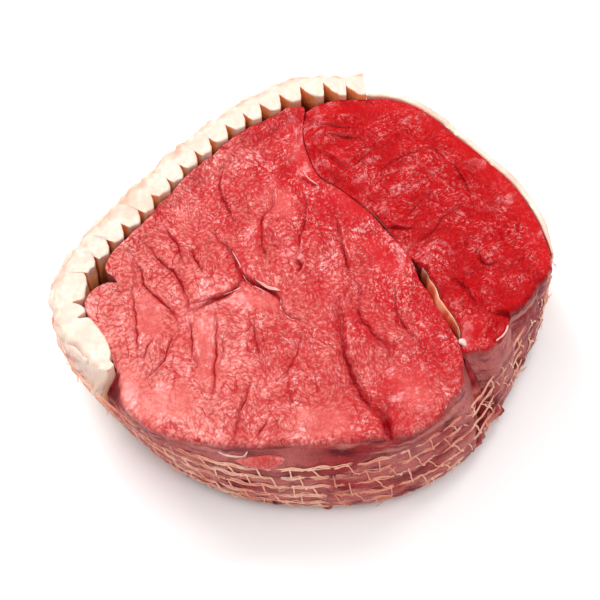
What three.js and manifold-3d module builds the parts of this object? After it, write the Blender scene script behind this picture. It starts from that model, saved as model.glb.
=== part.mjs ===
// A raw beef roasting joint: a thick slice across two muscles, with a scored slab of fat along its
// back and left, a thin fat skin along its right, and a knitted elastic net pulled round its side.
// Millimetres, +Z up. The joint lies on its lower cut face, and the origin is the middle of its foot.
import * as THREE from "three";
import { mergeVertices } from "three/addons/utils/BufferGeometryUtils.js";
import Module from "manifold-3d";

const wasm = await Module();
wasm.setup();

// Heights above the board.
const FACE_HEIGHT = 49; // upper cut face of the main muscle
const FAT_HEIGHT = 53.5; // cut top of the scored fat slab
const NET_TOP = 36; // highest row of the net at the front
const NET_FOOT = 4.5; // lowest row of the net

// How the net squeezes the slice.
const FOOT_ROUND = 18; // height over which the lower edge rounds under
const FOOT_TUCK = 9; // how far the foot lies inside the side
const LEAN = 15; // how far the side leans in below the fat's free end
const LEAN_ANGLE = (212 * Math.PI) / 180; // direction of that end
const SAG = 4.2; // how far the meat sags out over its foot on the opposite side
const SAG_ANGLE = (-48 * Math.PI) / 180;
const HELD_FROM = 0.45; // share of the radius from which the meat gives way to the net

// The net.
const NET_ROWS = 6;
const NET_TIES = 52; // upright ties in each gap between two rows
const NET_CLEARANCE = 1.1; // from the meat to the threads
const THREAD = { thick: 0.9, high: 1.3, tie: 1.2 };
const NET_RISE = 4; // how much higher the top row runs where the side leans in

// The fat.
const TOOTH_COUNT = 19;
const TOOTH_SPAN = 0.87; // share of the slab's length that is scored into teeth
const SCORE_DEPTH = 0.55; // share of the slab's thickness that a score cuts through
const FAT_CROWN = 2.2; // rounding of the slab's outer upper edge
const SEAM_STATIONS = 20; // corners of each muscle along the seam
const SEAM_OPENS_FROM = 0.35; // share of the seam from which it opens
const SEAM_GAPE = 1; // open space beside the fat in the seam
const SEAM_FAT = { from: 11, to: 19, thick: 1.5, top: 50 }; // from and to which corner it runs

const NEIGHBOUR_GAP = 0.4; // between pieces that lie against each other
const EDGE_ROUND = 2.2; // rounding of the meat's cut edge
const WALL_HEIGHTS = [0, 3.5, 8.5, 15, 25, 35, 42]; // rings round each muscle's side
const CUT_DEPTH_OVER = 8; // how far a cleft's cutter reaches above the cut face

// Lines in plan, on the level of the cut face. Each runs clockwise seen from above.
const NET_LINE = [
  [-99.5, -26], [-98, -6], [-88.5, 12], [-72.5, 32], [-53, 55], [-30.5, 78], [-9, 91], [14, 93.5],
  [34, 88], [56, 74], [75.5, 54.5], [91, 34], [98, 12], [93.5, -8], [84, -27], [73.5, -45],
  [59.5, -65], [35, -82], [3, -89], [-30, -88.5], [-57, -79], [-78, -62.5], [-92, -45.5],
];
const FAT_OUTER_LINE = [
  [24, 91], [6, 90.5], [-11, 86.5], [-31, 73.2], [-47, 57.6], [-62.3, 40.5], [-74.3, 25.3],
  [-87.3, 6.7], [-95.6, -7.5], [-98, -25], [-91.5, -42], [-79, -55],
];
const FAT_INNER_LINE = [
  [22, 80], [3, 78], [-12, 71.5], [-27, 60.2], [-39, 48.2], [-49, 35.4], [-61, 20.5], [-72, 5],
  [-81, -8.5], [-86.5, -21], [-82.4, -33], [-72.5, -50],
];
const FAT_SIDE_LINE = [
  [-70.3, -54], [-73.5, -45.5], [-80.3, -33.2], [-84, -24.5], [-79, -18], [-71.5, -15.5], [-76, -10],
  [-74, -1.5], [-65.5, 9], [-56, 22], [-47.5, 35], [-37, 47.5], [-25.5, 58.5], [-12, 69.3],
  [-0.5, 72.5],
];
const SEAM_LINE = [
  [0, 72.5], [-1, 62], [2, 48], [6, 39], [14, 33], [26, 21], [36, 7], [45, -9], [52, -25],
  [57.5, -37], [59.3, -46], [59.8, -54],
];
const FRONT_LINE = [
  [58.7, -56], [54.5, -62.5], [49, -70], [45, -77.5], [35, -82], [14, -84], [-8, -85.5], [-30, -86.5],
  [-50, -82.5], [-62, -76], [-69, -66], [-70.3, -54],
];
const RIM_LINE = [
  [0.5, 73], [7, 76], [22, 78.3], [37, 78], [52, 69], [67, 52.5], [80, 38], [89, 22.5],
  [94.5, 6], [96.3, -7],
];
const LOW_RIGHT_LINE = [[96.3, -7], [88, -16.5], [81, -27.5], [76, -36.5], [70, -44], [62.5, -50]];
const SKIN_OUTER_LINE = [
  [26.5, 84.5], [40, 82], [55.5, 71.5], [70, 54.8], [83, 40.4], [92.3, 24], [97.8, 6],
  [98.9, 0],
];
const SKIN_INNER_LINE = [
  [25.5, 81.5], [38, 79.8], [53, 70.4], [68.2, 53.4], [81, 39], [90.2, 23.2], [95.7, 6.2],
  [96.8, 0],
];

// Clefts in the cut face: a line in plan, its width at the top and its depth.
const CLEFTS = [
  { line: [[-31, 15], [-22, 2], [-16, -11], [-3, -22], [0, -33], [10, -38]], width: 3.2, depth: 4 },
  { line: [[16, -12], [19, -32], [25, -51], [33, -66], [38, -84]], width: 4.5, depth: 5 },
  { line: [[-30, 52], [-25, 34], [-19, 20], [-10, 6]], width: 2.4, depth: 2.6 },
];

// The finished foot's middle, by which everything moves so that it comes to stand on the origin.
const FOOT_MIDDLE = [0.2, 2.15];

const vector = ([x, y]) => new THREE.Vector3(x, y, 0);
const openCurve = (points) => new THREE.CatmullRomCurve3(points.map(vector), false, "centripetal");
const closedCurve = (points) => new THREE.CatmullRomCurve3(points.map(vector), true, "centripetal");
const clamp = THREE.MathUtils.clamp;
const lerp = THREE.MathUtils.lerp;
const smooth = (value, low, high) => THREE.MathUtils.smoothstep(value, low, high);

// An even pseudo-random value from -1 to 1 for the index of a tooth or a tie.
const uneven = (index, salt) => {
  const wave = Math.sin(index * 12.9898 + salt * 78.233) * 43758.5453;
  return 2 * (wave - Math.floor(wave)) - 1;
};

// The distance from the origin to a closed line, by direction.
function radiusByAngle(curve) {
  const rows = curve
    .getSpacedPoints(1440)
    .map((point) => [Math.atan2(point.y, point.x), Math.hypot(point.x, point.y)])
    .sort((a, b) => a[0] - b[0]);
  const first = rows[0];
  const last = rows[rows.length - 1];
  rows.unshift([last[0] - 2 * Math.PI, last[1]]);
  rows.push([first[0] + 2 * Math.PI, first[1]]);
  return (angle) => {
    let low = 0;
    let high = rows.length - 1;
    while (high - low > 1) {
      const middle = (low + high) >> 1;
      if (rows[middle][0] <= angle) low = middle;
      else high = middle;
    }
    const span = rows[high][0] - rows[low][0];
    const share = span > 0 ? (angle - rows[low][0]) / span : 0;
    return lerp(rows[low][1], rows[high][1], share);
  };
}

// The same, evened out over a few degrees to each side.
const softened = (radius, reach = Math.PI / 60) => (angle) => {
  const turns = [-1, -0.5, 0, 0.5, 1].map((step) => angle + step * reach);
  const wrapped = turns.map((turn) => Math.atan2(Math.sin(turn), Math.cos(turn)));
  return wrapped.reduce((sum, turn) => sum + radius(turn), 0) / turns.length;
};

const netRadius = radiusByAngle(closedCurve(NET_LINE));
const leftLines = [...FRONT_LINE, ...FAT_OUTER_LINE.slice().reverse()];
const rightLines = [...SKIN_OUTER_LINE, ...LOW_RIGHT_LINE];
const faceRadius = softened(radiusByAngle(closedCurve([...leftLines, ...rightLines])));

// 1 where the side leans in most, 0 over the half that does not.
const leanShare = (angle) => Math.max(0, Math.cos(angle - LEAN_ANGLE)) ** 4;

// How much of its distance from the middle a point keeps where the side leans in, sags out over
// its foot and tucks under.
function heldScale(angle, z) {
  const under = 1 - clamp(z / FOOT_ROUND, 0, 1);
  const tuck = FOOT_TUCK * (1 - Math.sqrt(1 - under * under));
  const lean = LEAN * leanShare(angle) * (1 - clamp(z / FACE_HEIGHT, 0, 1));
  const sagShare = Math.max(0, Math.cos(angle - SAG_ANGLE)) ** 6;
  const sag = SAG * sagShare * (1 - smooth(z, FOOT_TUCK, NET_TOP));
  return 1 - (tuck + lean - sag) / netRadius(angle);
}

// Moves a point of the straight-sided slice to where the net holds it. Below the cut face the
// net lets the side swell out to it, or draws it in.
function squeeze(x, y, z) {
  const radius = Math.max(Math.hypot(x, y), 1e-6);
  const angle = Math.atan2(y, x);
  const face = faceRadius(angle);
  const below = 1 - smooth(z, NET_TOP, FACE_HEIGHT - 1);
  const limit = netRadius(angle) - NET_CLEARANCE;
  const push = (limit - face) * smooth(radius / face, HELD_FROM, 1);
  const free = FACE_HEIGHT * (1 - below);
  const held = Math.min(radius + push * below, limit + NEIGHBOUR_GAP + free);
  const scale = (held / radius) * heldScale(angle, z);
  return new THREE.Vector3(x * scale, y * scale, z);
}

// Evenly spaced points along a line, without its last point.
const along = (points, count) => openCurve(points).getSpacedPoints(count).slice(0, -1);

// One side of the seam, as an offset from its middle line towards the right-hand muscle: closed
// at the back, and open towards the front, where the strip of fat lines its right-hand side.
function seamSide(share, side) {
  const open = smooth(share, SEAM_OPENS_FROM, SEAM_FAT.from / SEAM_STATIONS);
  const half = NEIGHBOUR_GAP / 2;
  if (side < 0) return -half - open * SEAM_GAPE;
  return half + open * (SEAM_FAT.thick + NEIGHBOUR_GAP);
}

function seamPoint(share, offset) {
  const curve = openCurve(SEAM_LINE);
  const point = curve.getPointAt(share);
  const tangent = curve.getTangentAt(share);
  return new THREE.Vector3(point.x - tangent.y * offset, point.y + tangent.x * offset, 0);
}

const seamWall = (side) =>
  Array.from({ length: SEAM_STATIONS }, (_, i) => {
    const share = i / SEAM_STATIONS;
    return seamPoint(share, seamSide(share, side));
  });

// The height of the cut face: the main muscle swells round its seams, the right-hand one stands
// a little proud along the seam and falls away to its rim.
function mainFace(x, y) {
  const crown = 1.6 * Math.exp(-(((x + 22) / 40) ** 2) - ((y + 25) / 42) ** 2);
  const belly = 1.4 * Math.exp(-(((x - 40) / 16) ** 2) - ((y + 50) / 22) ** 2);
  const rise = 3.2 * smooth(-x, 45, 80) * (1 - smooth(-y, 40, 60));
  const ridges = 0.5 * Math.sin((x + 0.35 * y) / 6.5) * smooth(-x, 20, 60);
  const ripple = 0.5 * Math.sin(x / 9 + 1.3) * Math.sin(y / 11 + 0.4);
  return FACE_HEIGHT + crown + belly + rise + ridges + ripple - 0.6;
}

function rightFace(x, y) {
  const outward = (x * 0.72 + y * 0.69 - 25) / 45;
  const fall = 1.6 * smooth(outward, 0.75, 1.25);
  const ripple = 0.5 * Math.sin(x / 8) * Math.sin(y / 7 + 1);
  return FACE_HEIGHT + 2.5 - fall + ripple;
}

// A closed mesh from numbered points and four-sided or three-sided faces.
class Shell {
  positions = [];
  faces = [];

  add(point) {
    this.positions.push(point.x, point.y, point.z);
    return this.positions.length / 3 - 1;
  }

  quad(a, b, c, d) {
    this.faces.push(a, b, c, a, c, d);
  }

  // Joins each closed loop of points to the next.
  sleeve(loops) {
    const size = loops[0].length;
    for (let k = 0; k + 1 < loops.length; k++)
      for (let i = 0; i < size; i++) {
        const j = (i + 1) % size;
        this.quad(loops[k][i], loops[k][j], loops[k + 1][j], loops[k + 1][i]);
      }
  }

  geometry() {
    const geometry = new THREE.BufferGeometry();
    geometry.setAttribute("position", new THREE.Float32BufferAttribute(this.positions, 3));
    geometry.setIndex(this.faces);
    return geometry;
  }
}

// A muscle: its outline in plan, given counter-clockwise, with a cut face of nested rings above,
// a side that the net squeezes, and a flat foot.
function muscleGeometry(outline, centre, face, ringShares) {
  const shell = new Shell();
  const count = outline.length;
  const inward = outline.map((point) => {
    const away = new THREE.Vector3(centre[0] - point.x, centre[1] - point.y, 0);
    return away.multiplyScalar(EDGE_ROUND / away.length());
  });
  const ring = (place) => outline.map((point, i) => shell.add(place(point, i)));
  const rings = WALL_HEIGHTS.map((z) => ring((point) => squeeze(point.x, point.y, z)));
  rings.push(ring((p) => squeeze(p.x, p.y, face(p.x, p.y) - EDGE_ROUND)));
  rings.push(
    ring((point, i) => {
      const [x, y] = [point.x + 0.35 * inward[i].x, point.y + 0.35 * inward[i].y];
      return squeeze(x, y, face(x, y) - 0.3 * EDGE_ROUND);
    }),
  );
  for (const share of ringShares)
    rings.push(
      ring((point, i) => {
        const x = lerp(centre[0], point.x + inward[i].x, share);
        const y = lerp(centre[1], point.y + inward[i].y, share);
        return squeeze(x, y, face(x, y));
      }),
    );
  shell.sleeve(rings);
  const top = shell.add(squeeze(centre[0], centre[1], face(...centre)));
  const foot = shell.add(squeeze(centre[0], centre[1], 0));
  const highest = rings[rings.length - 1];
  for (let i = 0; i < count; i++) {
    const j = (i + 1) % count;
    shell.faces.push(highest[i], highest[j], top, rings[0][j], rings[0][i], foot);
  }
  return shell.geometry();
}

// A band that stands on the board between an outer and an inner line, closed at both ends.
// Its section at each station is a loop of points: up the outer side, over the top, down the inner.
function bandGeometry(sections) {
  const shell = new Shell();
  const loops = sections.map((loop) => loop.map((point) => shell.add(point)));
  shell.sleeve(loops);
  const size = loops[0].length;
  const [first, last] = [loops[0], loops[loops.length - 1]];
  for (let i = 0; i < size / 2 - 1; i++) {
    shell.quad(first[i], first[size - 1 - i], first[size - 2 - i], first[i + 1]);
    shell.quad(last[i], last[i + 1], last[size - 2 - i], last[size - 1 - i]);
  }
  return shell.geometry();
}

// The loop of one station of a band, from its outer and inner point in plan.
function bandSection(outer, inner, top, levels, crown) {
  const shoulder = outer.clone().lerp(inner, 0.18);
  const up = levels.map((z) => squeeze(outer.x, outer.y, z));
  const down = levels.map((z) => squeeze(inner.x, inner.y, z)).reverse();
  return [
    ...up,
    squeeze(outer.x, outer.y, top - crown),
    squeeze(shoulder.x, shoulder.y, top),
    squeeze(inner.x, inner.y, top),
    squeeze(inner.x, inner.y, top - crown),
    ...down,
  ];
}

function solidOf(geometry) {
  const bare = geometry.clone();
  bare.deleteAttribute("normal");
  bare.deleteAttribute("uv");
  const merged = mergeVertices(bare, 1e-4);
  return new wasm.Manifold(
    new wasm.Mesh({
      numProp: 3,
      vertProperties: new Float32Array(merged.attributes.position.array),
      triVerts: new Uint32Array(merged.index.array),
    }),
  );
}

function geometryOf(solid) {
  const mesh = solid.getMesh();
  const geometry = new THREE.BufferGeometry();
  geometry.setAttribute("position", new THREE.BufferAttribute(mesh.vertProperties, 3));
  geometry.setIndex(new THREE.BufferAttribute(mesh.triVerts, 1));
  return geometry;
}

// A V-shaped cutter that follows a cleft and runs out to nothing at both ends.
function cleftCutter({ line, width, depth }, face) {
  const curve = openCurve(line);
  const steps = line.length * 2 - 2;
  const sections = [];
  for (let i = 0; i <= steps; i++) {
    const share = i / steps;
    const point = curve.getPointAt(share);
    const tangent = curve.getTangentAt(share);
    const run = Math.sin(Math.PI * clamp(share, 0.04, 0.96)) ** 0.6;
    const half = 0.5 * width * run;
    const z = face(point.x, point.y);
    const deep = depth * run;
    const slope = (half * (CUT_DEPTH_OVER + deep)) / deep;
    const top = z + CUT_DEPTH_OVER;
    const side = (offset, height) =>
      new THREE.Vector3(point.x - tangent.y * offset, point.y + tangent.x * offset, height);
    sections.push([side(0, z - deep), side(slope, top), side(-slope, top)]);
  }
  const shell = new Shell();
  const loops = sections.map((loop) => loop.map((point) => shell.add(point)));
  shell.sleeve(loops);
  const [first, last] = [loops[0], loops[loops.length - 1]];
  shell.faces.push(first[0], first[2], first[1], ...last);
  return solidOf(facingOut(shell.geometry()));
}

// The same mesh, with its faces turned round if they point inwards.
function facingOut(geometry) {
  if (solidOf(geometry).volume() > 0) return geometry;
  const index = geometry.index.array;
  for (let i = 0; i < index.length; i += 3)
    [index[i + 1], index[i + 2]] = [index[i + 2], index[i + 1]];
  return geometry;
}

function mainMuscle() {
  const back = along(FAT_SIDE_LINE, 24);
  const front = along(FRONT_LINE, 24);
  const outline = [...back, ...seamWall(-1), ...front].reverse();
  const rings = [1, 0.9, 0.78, 0.64, 0.5, 0.36, 0.22, 0.1];
  const geometry = muscleGeometry(outline, [-12, -16], mainFace, rings);
  const cutters = CLEFTS.map((cleft) => cleftCutter(cleft, mainFace));
  return geometryOf(cutters.reduce((solid, cutter) => solid.subtract(cutter), solidOf(geometry)));
}

function rightMuscle() {
  const low = along(LOW_RIGHT_LINE.slice().reverse(), 10);
  const rim = along(RIM_LINE.slice().reverse(), 22);
  const outline = [...seamWall(1), ...low, ...rim];
  return muscleGeometry(outline, [48, 22], rightFace, [1, 0.84, 0.64, 0.42, 0.2]);
}

function seamFat() {
  const levels = [0, 3.5, 8.5, 15, 30];
  const sections = Array.from({ length: SEAM_FAT.to - SEAM_FAT.from + 1 }, (_, i) => {
    const share = (SEAM_FAT.from + i) / SEAM_STATIONS;
    const wall = seamSide(share, 1) - NEIGHBOUR_GAP;
    const inner = seamPoint(share, wall - SEAM_FAT.thick);
    return bandSection(seamPoint(share, wall), inner, SEAM_FAT.top, levels, 1);
  });
  return bandGeometry(sections);
}

// The fat slab: teeth between scores along its inner side, and a whole block at its near end.
function fatSlab() {
  const outer = openCurve(FAT_OUTER_LINE);
  const inner = openCurve(FAT_INNER_LINE);
  const levels = [0, 3.5, 9, 18, 36];
  const stations = [];
  for (let tooth = 0; tooth < TOOTH_COUNT; tooth++) {
    const pitch = TOOTH_SPAN / TOOTH_COUNT;
    const start = tooth * pitch;
    stations.push([start + 0.14 * pitch, 0], [start + 0.5 * pitch, -0.05], [start + 0.86 * pitch, 0]);
    stations.push([start + pitch, SCORE_DEPTH * (1 + 0.2 * uneven(tooth, 1))]);
  }
  stations[0][0] = 0;
  for (const share of [0.12, 0.4, 0.7, 1]) stations.push([lerp(TOOTH_SPAN, 1, share), 0]);
  const sections = stations.map(([share, depth], i) => {
    const out = outer.getPointAt(share);
    const into = inner.getPointAt(share).lerp(out, depth);
    const top = FAT_HEIGHT + 0.7 * uneven(Math.floor(i / 4), 2);
    return bandSection(out, into, top, levels, FAT_CROWN);
  });
  return bandGeometry(sections);
}

function fatSkin() {
  const outer = openCurve(SKIN_OUTER_LINE);
  const inner = openCurve(SKIN_INNER_LINE);
  const stations = 22;
  const levels = [0, 3.5, 8.5, 15, 25, 37];
  const sections = Array.from({ length: stations + 1 }, (_, i) => {
    const out = outer.getPointAt(i / stations);
    const into = inner.getPointAt(i / stations);
    const top = rightFace(into.x, into.y) - 0.8;
    return bandSection(out, into, top, levels, 1);
  });
  return bandGeometry(sections);
}

// The height of a row of the net in one direction: the rows fan out a little where the side leans.
const rowHeight = (row, angle) =>
  lerp(NET_TOP + NET_RISE * leanShare(angle), NET_FOOT, row / (NET_ROWS - 1));

// The net: level rows of elastic thread joined by short upright ties, as one pierced sleeve.
function netGeometry() {
  const shell = new Shell();
  const curve = closedCurve(NET_LINE);
  const length = curve.getLength();
  const stations = [];
  for (let tie = 0; tie < NET_TIES; tie++) {
    const middle = (tie + 0.15 * uneven(tie, 3)) / NET_TIES;
    const half = (0.5 * THREAD.tie) / length;
    stations.push(middle - half, middle + half);
  }
  const corner = (share, row, upper, outside) => {
    const point = curve.getPointAt(((share % 1) + 1) % 1);
    const angle = Math.atan2(point.y, point.x);
    const z = rowHeight(row, angle) + (upper ? 0.5 : -0.5) * THREAD.high;
    const scale = heldScale(angle, z) + (outside ? THREAD.thick / netRadius(angle) : 0);
    return new THREE.Vector3(point.x * scale, point.y * scale, z);
  };
  // Four corners of a row's thread at each station, in the order lower and upper, inside and out.
  const corners = stations.map((share) =>
    Array.from({ length: NET_ROWS }, (_, row) => ({
      lowIn: shell.add(corner(share, row, false, false)),
      lowOut: shell.add(corner(share, row, false, true)),
      highIn: shell.add(corner(share, row, true, false)),
      highOut: shell.add(corner(share, row, true, true)),
    })),
  );
  for (let s = 0; s < stations.length; s++) {
    const here = corners[s];
    const next = corners[(s + 1) % stations.length];
    const tie = s % 2 === 0;
    for (let row = 0; row < NET_ROWS; row++) {
      const [a, b] = [here[row], next[row]];
      shell.quad(a.lowOut, a.highOut, b.highOut, b.lowOut);
      shell.quad(a.highIn, a.lowIn, b.lowIn, b.highIn);
      if (!tie || row === 0) shell.quad(a.highOut, a.highIn, b.highIn, b.highOut);
      if (!tie || row === NET_ROWS - 1) shell.quad(a.lowIn, a.lowOut, b.lowOut, b.lowIn);
      if (!tie || row === NET_ROWS - 1) continue;
      const [c, d] = [here[row + 1], next[row + 1]];
      shell.quad(c.highOut, a.lowOut, b.lowOut, d.highOut);
      shell.quad(a.lowIn, c.highIn, d.highIn, b.lowIn);
      shell.quad(a.lowOut, c.highOut, c.highIn, a.lowIn);
      shell.quad(b.lowIn, d.highIn, d.highOut, b.lowOut);
    }
  }
  return shell.geometry();
}

const finishes = {
  redMeat: { color: 0xd04a48, roughness: 0.35, metalness: 0 },
  deepMeat: { color: 0xc12a2c, roughness: 0.32, metalness: 0 },
  fat: { color: 0xf6ead6, roughness: 0.55, metalness: 0 },
  skin: { color: 0xeec3b4, roughness: 0.5, metalness: 0 },
  seamFat: { color: 0xe9a58c, roughness: 0.45, metalness: 0 },
  net: { color: 0xd9a184, roughness: 0.7, metalness: 0 },
};

function piece(name, geometry, finish) {
  facingOut(geometry).translate(-FOOT_MIDDLE[0], -FOOT_MIDDLE[1], 0);
  geometry.computeVertexNormals();
  const mesh = new THREE.Mesh(geometry, new THREE.MeshStandardMaterial(finish));
  mesh.name = name;
  return mesh;
}

const joint = new THREE.Group();
joint.add(
  piece("main_muscle", mainMuscle(), finishes.redMeat),
  piece("right_muscle", rightMuscle(), finishes.deepMeat),
  piece("seam_fat", seamFat(), finishes.seamFat),
  piece("scored_fat", fatSlab(), finishes.fat),
  piece("fat_skin", fatSkin(), finishes.skin),
  piece("net", netGeometry(), finishes.net),
);

export default joint;
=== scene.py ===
import math

import bpy
import numpy as np
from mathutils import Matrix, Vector


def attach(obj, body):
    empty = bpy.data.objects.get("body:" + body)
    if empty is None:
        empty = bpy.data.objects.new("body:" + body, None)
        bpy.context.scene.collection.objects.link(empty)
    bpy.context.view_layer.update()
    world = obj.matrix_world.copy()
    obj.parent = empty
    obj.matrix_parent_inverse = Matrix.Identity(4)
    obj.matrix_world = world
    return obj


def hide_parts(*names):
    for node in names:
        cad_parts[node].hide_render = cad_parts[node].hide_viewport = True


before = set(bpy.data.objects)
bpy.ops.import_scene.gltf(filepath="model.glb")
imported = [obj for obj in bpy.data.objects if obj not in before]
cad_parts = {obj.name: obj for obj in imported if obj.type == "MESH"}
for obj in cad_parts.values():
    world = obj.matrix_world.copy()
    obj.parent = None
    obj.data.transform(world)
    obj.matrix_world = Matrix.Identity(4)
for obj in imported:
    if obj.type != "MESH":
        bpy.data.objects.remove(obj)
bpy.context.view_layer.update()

# ------------------------------------------------------------------------------ The main muscle
# The large muscle of a boned beef joint: lean raw meat, cut across its grain into one thick slice.
# The knife leaves its face wet and finely wrinkled, parted by folds between bundles of fibres, and
# the net that is pulled round the joint later squeezes its side into rows of small cushions.

MM = 0.001
FOOT_MIDDLE = (0.2, 2.15, 0)  # of the plan, which comes to stand on the origin
FACE_HEIGHT = 49.0
NET_TOP = 36.0
NET_FOOT = 4.5
NET_RISE = 4.0
NET_ROWS = 6
NET_TIES = 52
NET_LENGTH = 560  # once round the joint
FOOT_ROUND = 18.0
FOOT_TUCK = 9.0
LEAN = 15.0
LEAN_TURN = math.radians(212)
SAG = 4.2
SAG_TURN = math.radians(-48)
HELD_FROM = 0.45
NET_CLEARANCE = 1.1
NEIGHBOUR_GAP = 0.4

NET_LINE = [
    (-99.5, -26), (-98, -6), (-88.5, 12), (-72.5, 32), (-53, 55), (-30.5, 78), (-9, 91),
    (14, 93.5), (34, 88), (56, 74), (75.5, 54.5), (91, 34), (98, 12), (93.5, -8), (84, -27),
    (73.5, -45), (59.5, -65), (35, -82), (3, -89), (-30, -88.5), (-57, -79), (-78, -62.5),
    (-92, -45.5),
]
FAT_OUTER_LINE = [
    (24, 91), (6, 90.5), (-11, 86.5), (-31, 73.2), (-47, 57.6), (-62.3, 40.5), (-74.3, 25.3),
    (-87.3, 6.7), (-95.6, -7.5), (-98, -25), (-91.5, -42), (-79, -55),
]
SEAM_LINE = [
    (0, 72.5), (-1, 62), (2, 48), (6, 39), (14, 33), (26, 21), (36, 7), (45, -9), (52, -25),
    (57.5, -37), (59.3, -46), (59.8, -54),
]
FRONT_LINE = [
    (60.2, -57), (57.4, -63), (52, -70), (46.5, -77), (35, -82), (14, -84), (-8, -85.5),
    (-30, -86.5), (-50, -82.5), (-62, -76), (-69, -66), (-70.3, -54),
]
RIM_LINE = [
    (0.5, 73), (7, 76), (22, 78.3), (37, 78), (52, 69), (67, 52.5), (80, 38), (89, 22.5),
    (94.5, 6), (96.3, -7),
]
LOW_RIGHT_LINE = [(96.3, -7), (88, -16.5), (81, -27.5), (76, -36.5), (70, -44), (62.5, -50)]
SKIN_OUTER_LINE = [
    (26.5, 82.2), (40, 81.4), (55.5, 71.5), (70, 54.8), (83, 40.4), (92.3, 24), (97.8, 6),
    (98.9, 0),
]


def curve_through(points, closed=False, steps=24):
    """Close-set points of a smooth line through the given ones."""
    p = np.array(points, float)
    if closed:
        p = np.vstack([p[-1:], p, p[:2]])
    else:
        p = np.vstack([2 * p[0] - p[1], p, 2 * p[-1] - p[-2]])
    t = np.linspace(0, 1, steps, endpoint=False)[:, None]
    spans = []
    for a, b, c, d in zip(p[:-3], p[1:-2], p[2:-1], p[3:]):
        ab, bc, cd = (np.linalg.norm(v) ** 0.5 for v in (b - a, c - b, d - c))
        into = ((b - a) / ab - (c - a) / (ab + bc) + (c - b) / bc) * bc
        out = ((c - b) / bc - (d - b) / (bc + cd) + (d - c) / cd) * bc
        bend = 3 * (c - b) - 2 * into - out
        spans.append(b + into * t + bend * t**2 + (2 * (b - c) + into + out) * t**3)
    if not closed:
        spans.append(p[-2:-1])
    return np.vstack(spans)


def run_along(line):
    """The distance travelled along a line, at each of its points."""
    return np.concatenate([[0], np.cumsum(np.linalg.norm(np.diff(line, axis=0), axis=1))])


def point_at(line, share):
    """The points of an open line at shares of its length."""
    run = run_along(line)
    return np.stack([np.interp(np.asarray(share) * run[-1], run, line[:, k]) for k in (0, 1)], -1)


def reach_by_turn(line, centre=(0, 0)):
    """A function that gives how far a closed line lies from the centre in a direction."""
    offset = line - np.array(centre)
    turn = np.arctan2(offset[:, 1], offset[:, 0])
    reach = np.hypot(offset[:, 0], offset[:, 1])
    return lambda at: np.interp(at, turn, reach, period=2 * math.pi)


def between(ends, share):
    return ends[0] + (ends[1] - ends[0]) * share


def unit(vectors):
    """The same directions, each of length one."""
    return vectors / np.linalg.norm(vectors, axis=1)[:, None]


def left_of(ahead):
    return np.stack([-ahead[:, 1], ahead[:, 0]], 1)


def smooth(value, low, high):
    """Rises softly from 0 to 1 between two values."""
    t = np.clip((np.asarray(value, float) - low) / (high - low), 0, 1)
    return t * t * (3 - 2 * t)


net_curve = curve_through(NET_LINE, closed=True)
net_reach = reach_by_turn(net_curve)
face_curve = curve_through(
    FRONT_LINE + FAT_OUTER_LINE[::-1] + SKIN_OUTER_LINE + LOW_RIGHT_LINE, closed=True
)
sharp_face_reach = reach_by_turn(face_curve)


def face_reach(turn):
    """The face's reach, evened out over three degrees either way."""
    return sum(sharp_face_reach(turn + k * math.pi / 120) for k in range(-2, 3)) / 5


def lean_share(turn):
    """How much the side leans in at a direction, most at the front left."""
    return np.maximum(0, np.cos(turn - LEAN_TURN)) ** 4


def held_scale(turn, z):
    """What is left of a point's reach where the side leans in, sags out and tucks under."""
    under = 1 - np.clip(z / FOOT_ROUND, 0, 1)
    tuck = FOOT_TUCK * (1 - np.sqrt(1 - under * under))
    lean = LEAN * lean_share(turn) * (1 - np.clip(z / FACE_HEIGHT, 0, 1))
    sag_share = np.maximum(0, np.cos(turn - SAG_TURN)) ** 6
    sag = SAG * sag_share * (1 - smooth(z, FOOT_TUCK, NET_TOP))
    return 1 - (tuck + lean - sag) / net_reach(turn)


def squeeze(x, y, z, swell=0.0):
    """Brings a point of the straight-sided slice to where the net holds it."""
    radius = np.maximum(np.hypot(x, y), 1e-6)
    turn = np.arctan2(y, x)
    face = face_reach(turn)
    below = 1 - smooth(z, NET_TOP, FACE_HEIGHT - 1)
    limit = net_reach(turn) - NET_CLEARANCE
    push = (limit - face) * smooth(radius / face, HELD_FROM, 1)
    free = FACE_HEIGHT * (1 - below)
    held = np.minimum(radius + push * below, limit + NEIGHBOUR_GAP + free) + swell
    scale = held / radius * held_scale(turn, z)
    return np.stack([x * scale, y * scale, z + 0 * x], -1)


net_run = run_along(np.vstack([net_curve, net_curve[:1]]))
net_turns = np.unwrap(np.arctan2(net_curve[:, 1], net_curve[:, 0]))


def share_round(turn):
    """How far round the net a direction lies, as a share of its whole length."""
    back = net_turns[::-1]
    share = (net_run[:-1] / net_run[-1])[::-1]
    wrapped = back[0] + np.mod(turn - back[0], 2 * math.pi)
    return np.interp(wrapped, np.append(back, back[0] + 2 * math.pi), np.append(share, share[0] - 1)) % 1


def uneven(index, salt):
    """An even spread of values from -1 to 1, the same for the same index."""
    wave = np.sin(np.asarray(index) * 12.9898 + salt * 78.233) * 43758.5453
    return 2 * (wave - np.floor(wave)) - 1


def net_top(turn):
    """The height of the net's first row, which rides up where the side leans."""
    return NET_TOP + NET_RISE * lean_share(turn)


def row_height(row, turn):
    top = net_top(turn)
    return top + (NET_FOOT - top) * row / (NET_ROWS - 1)


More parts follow.
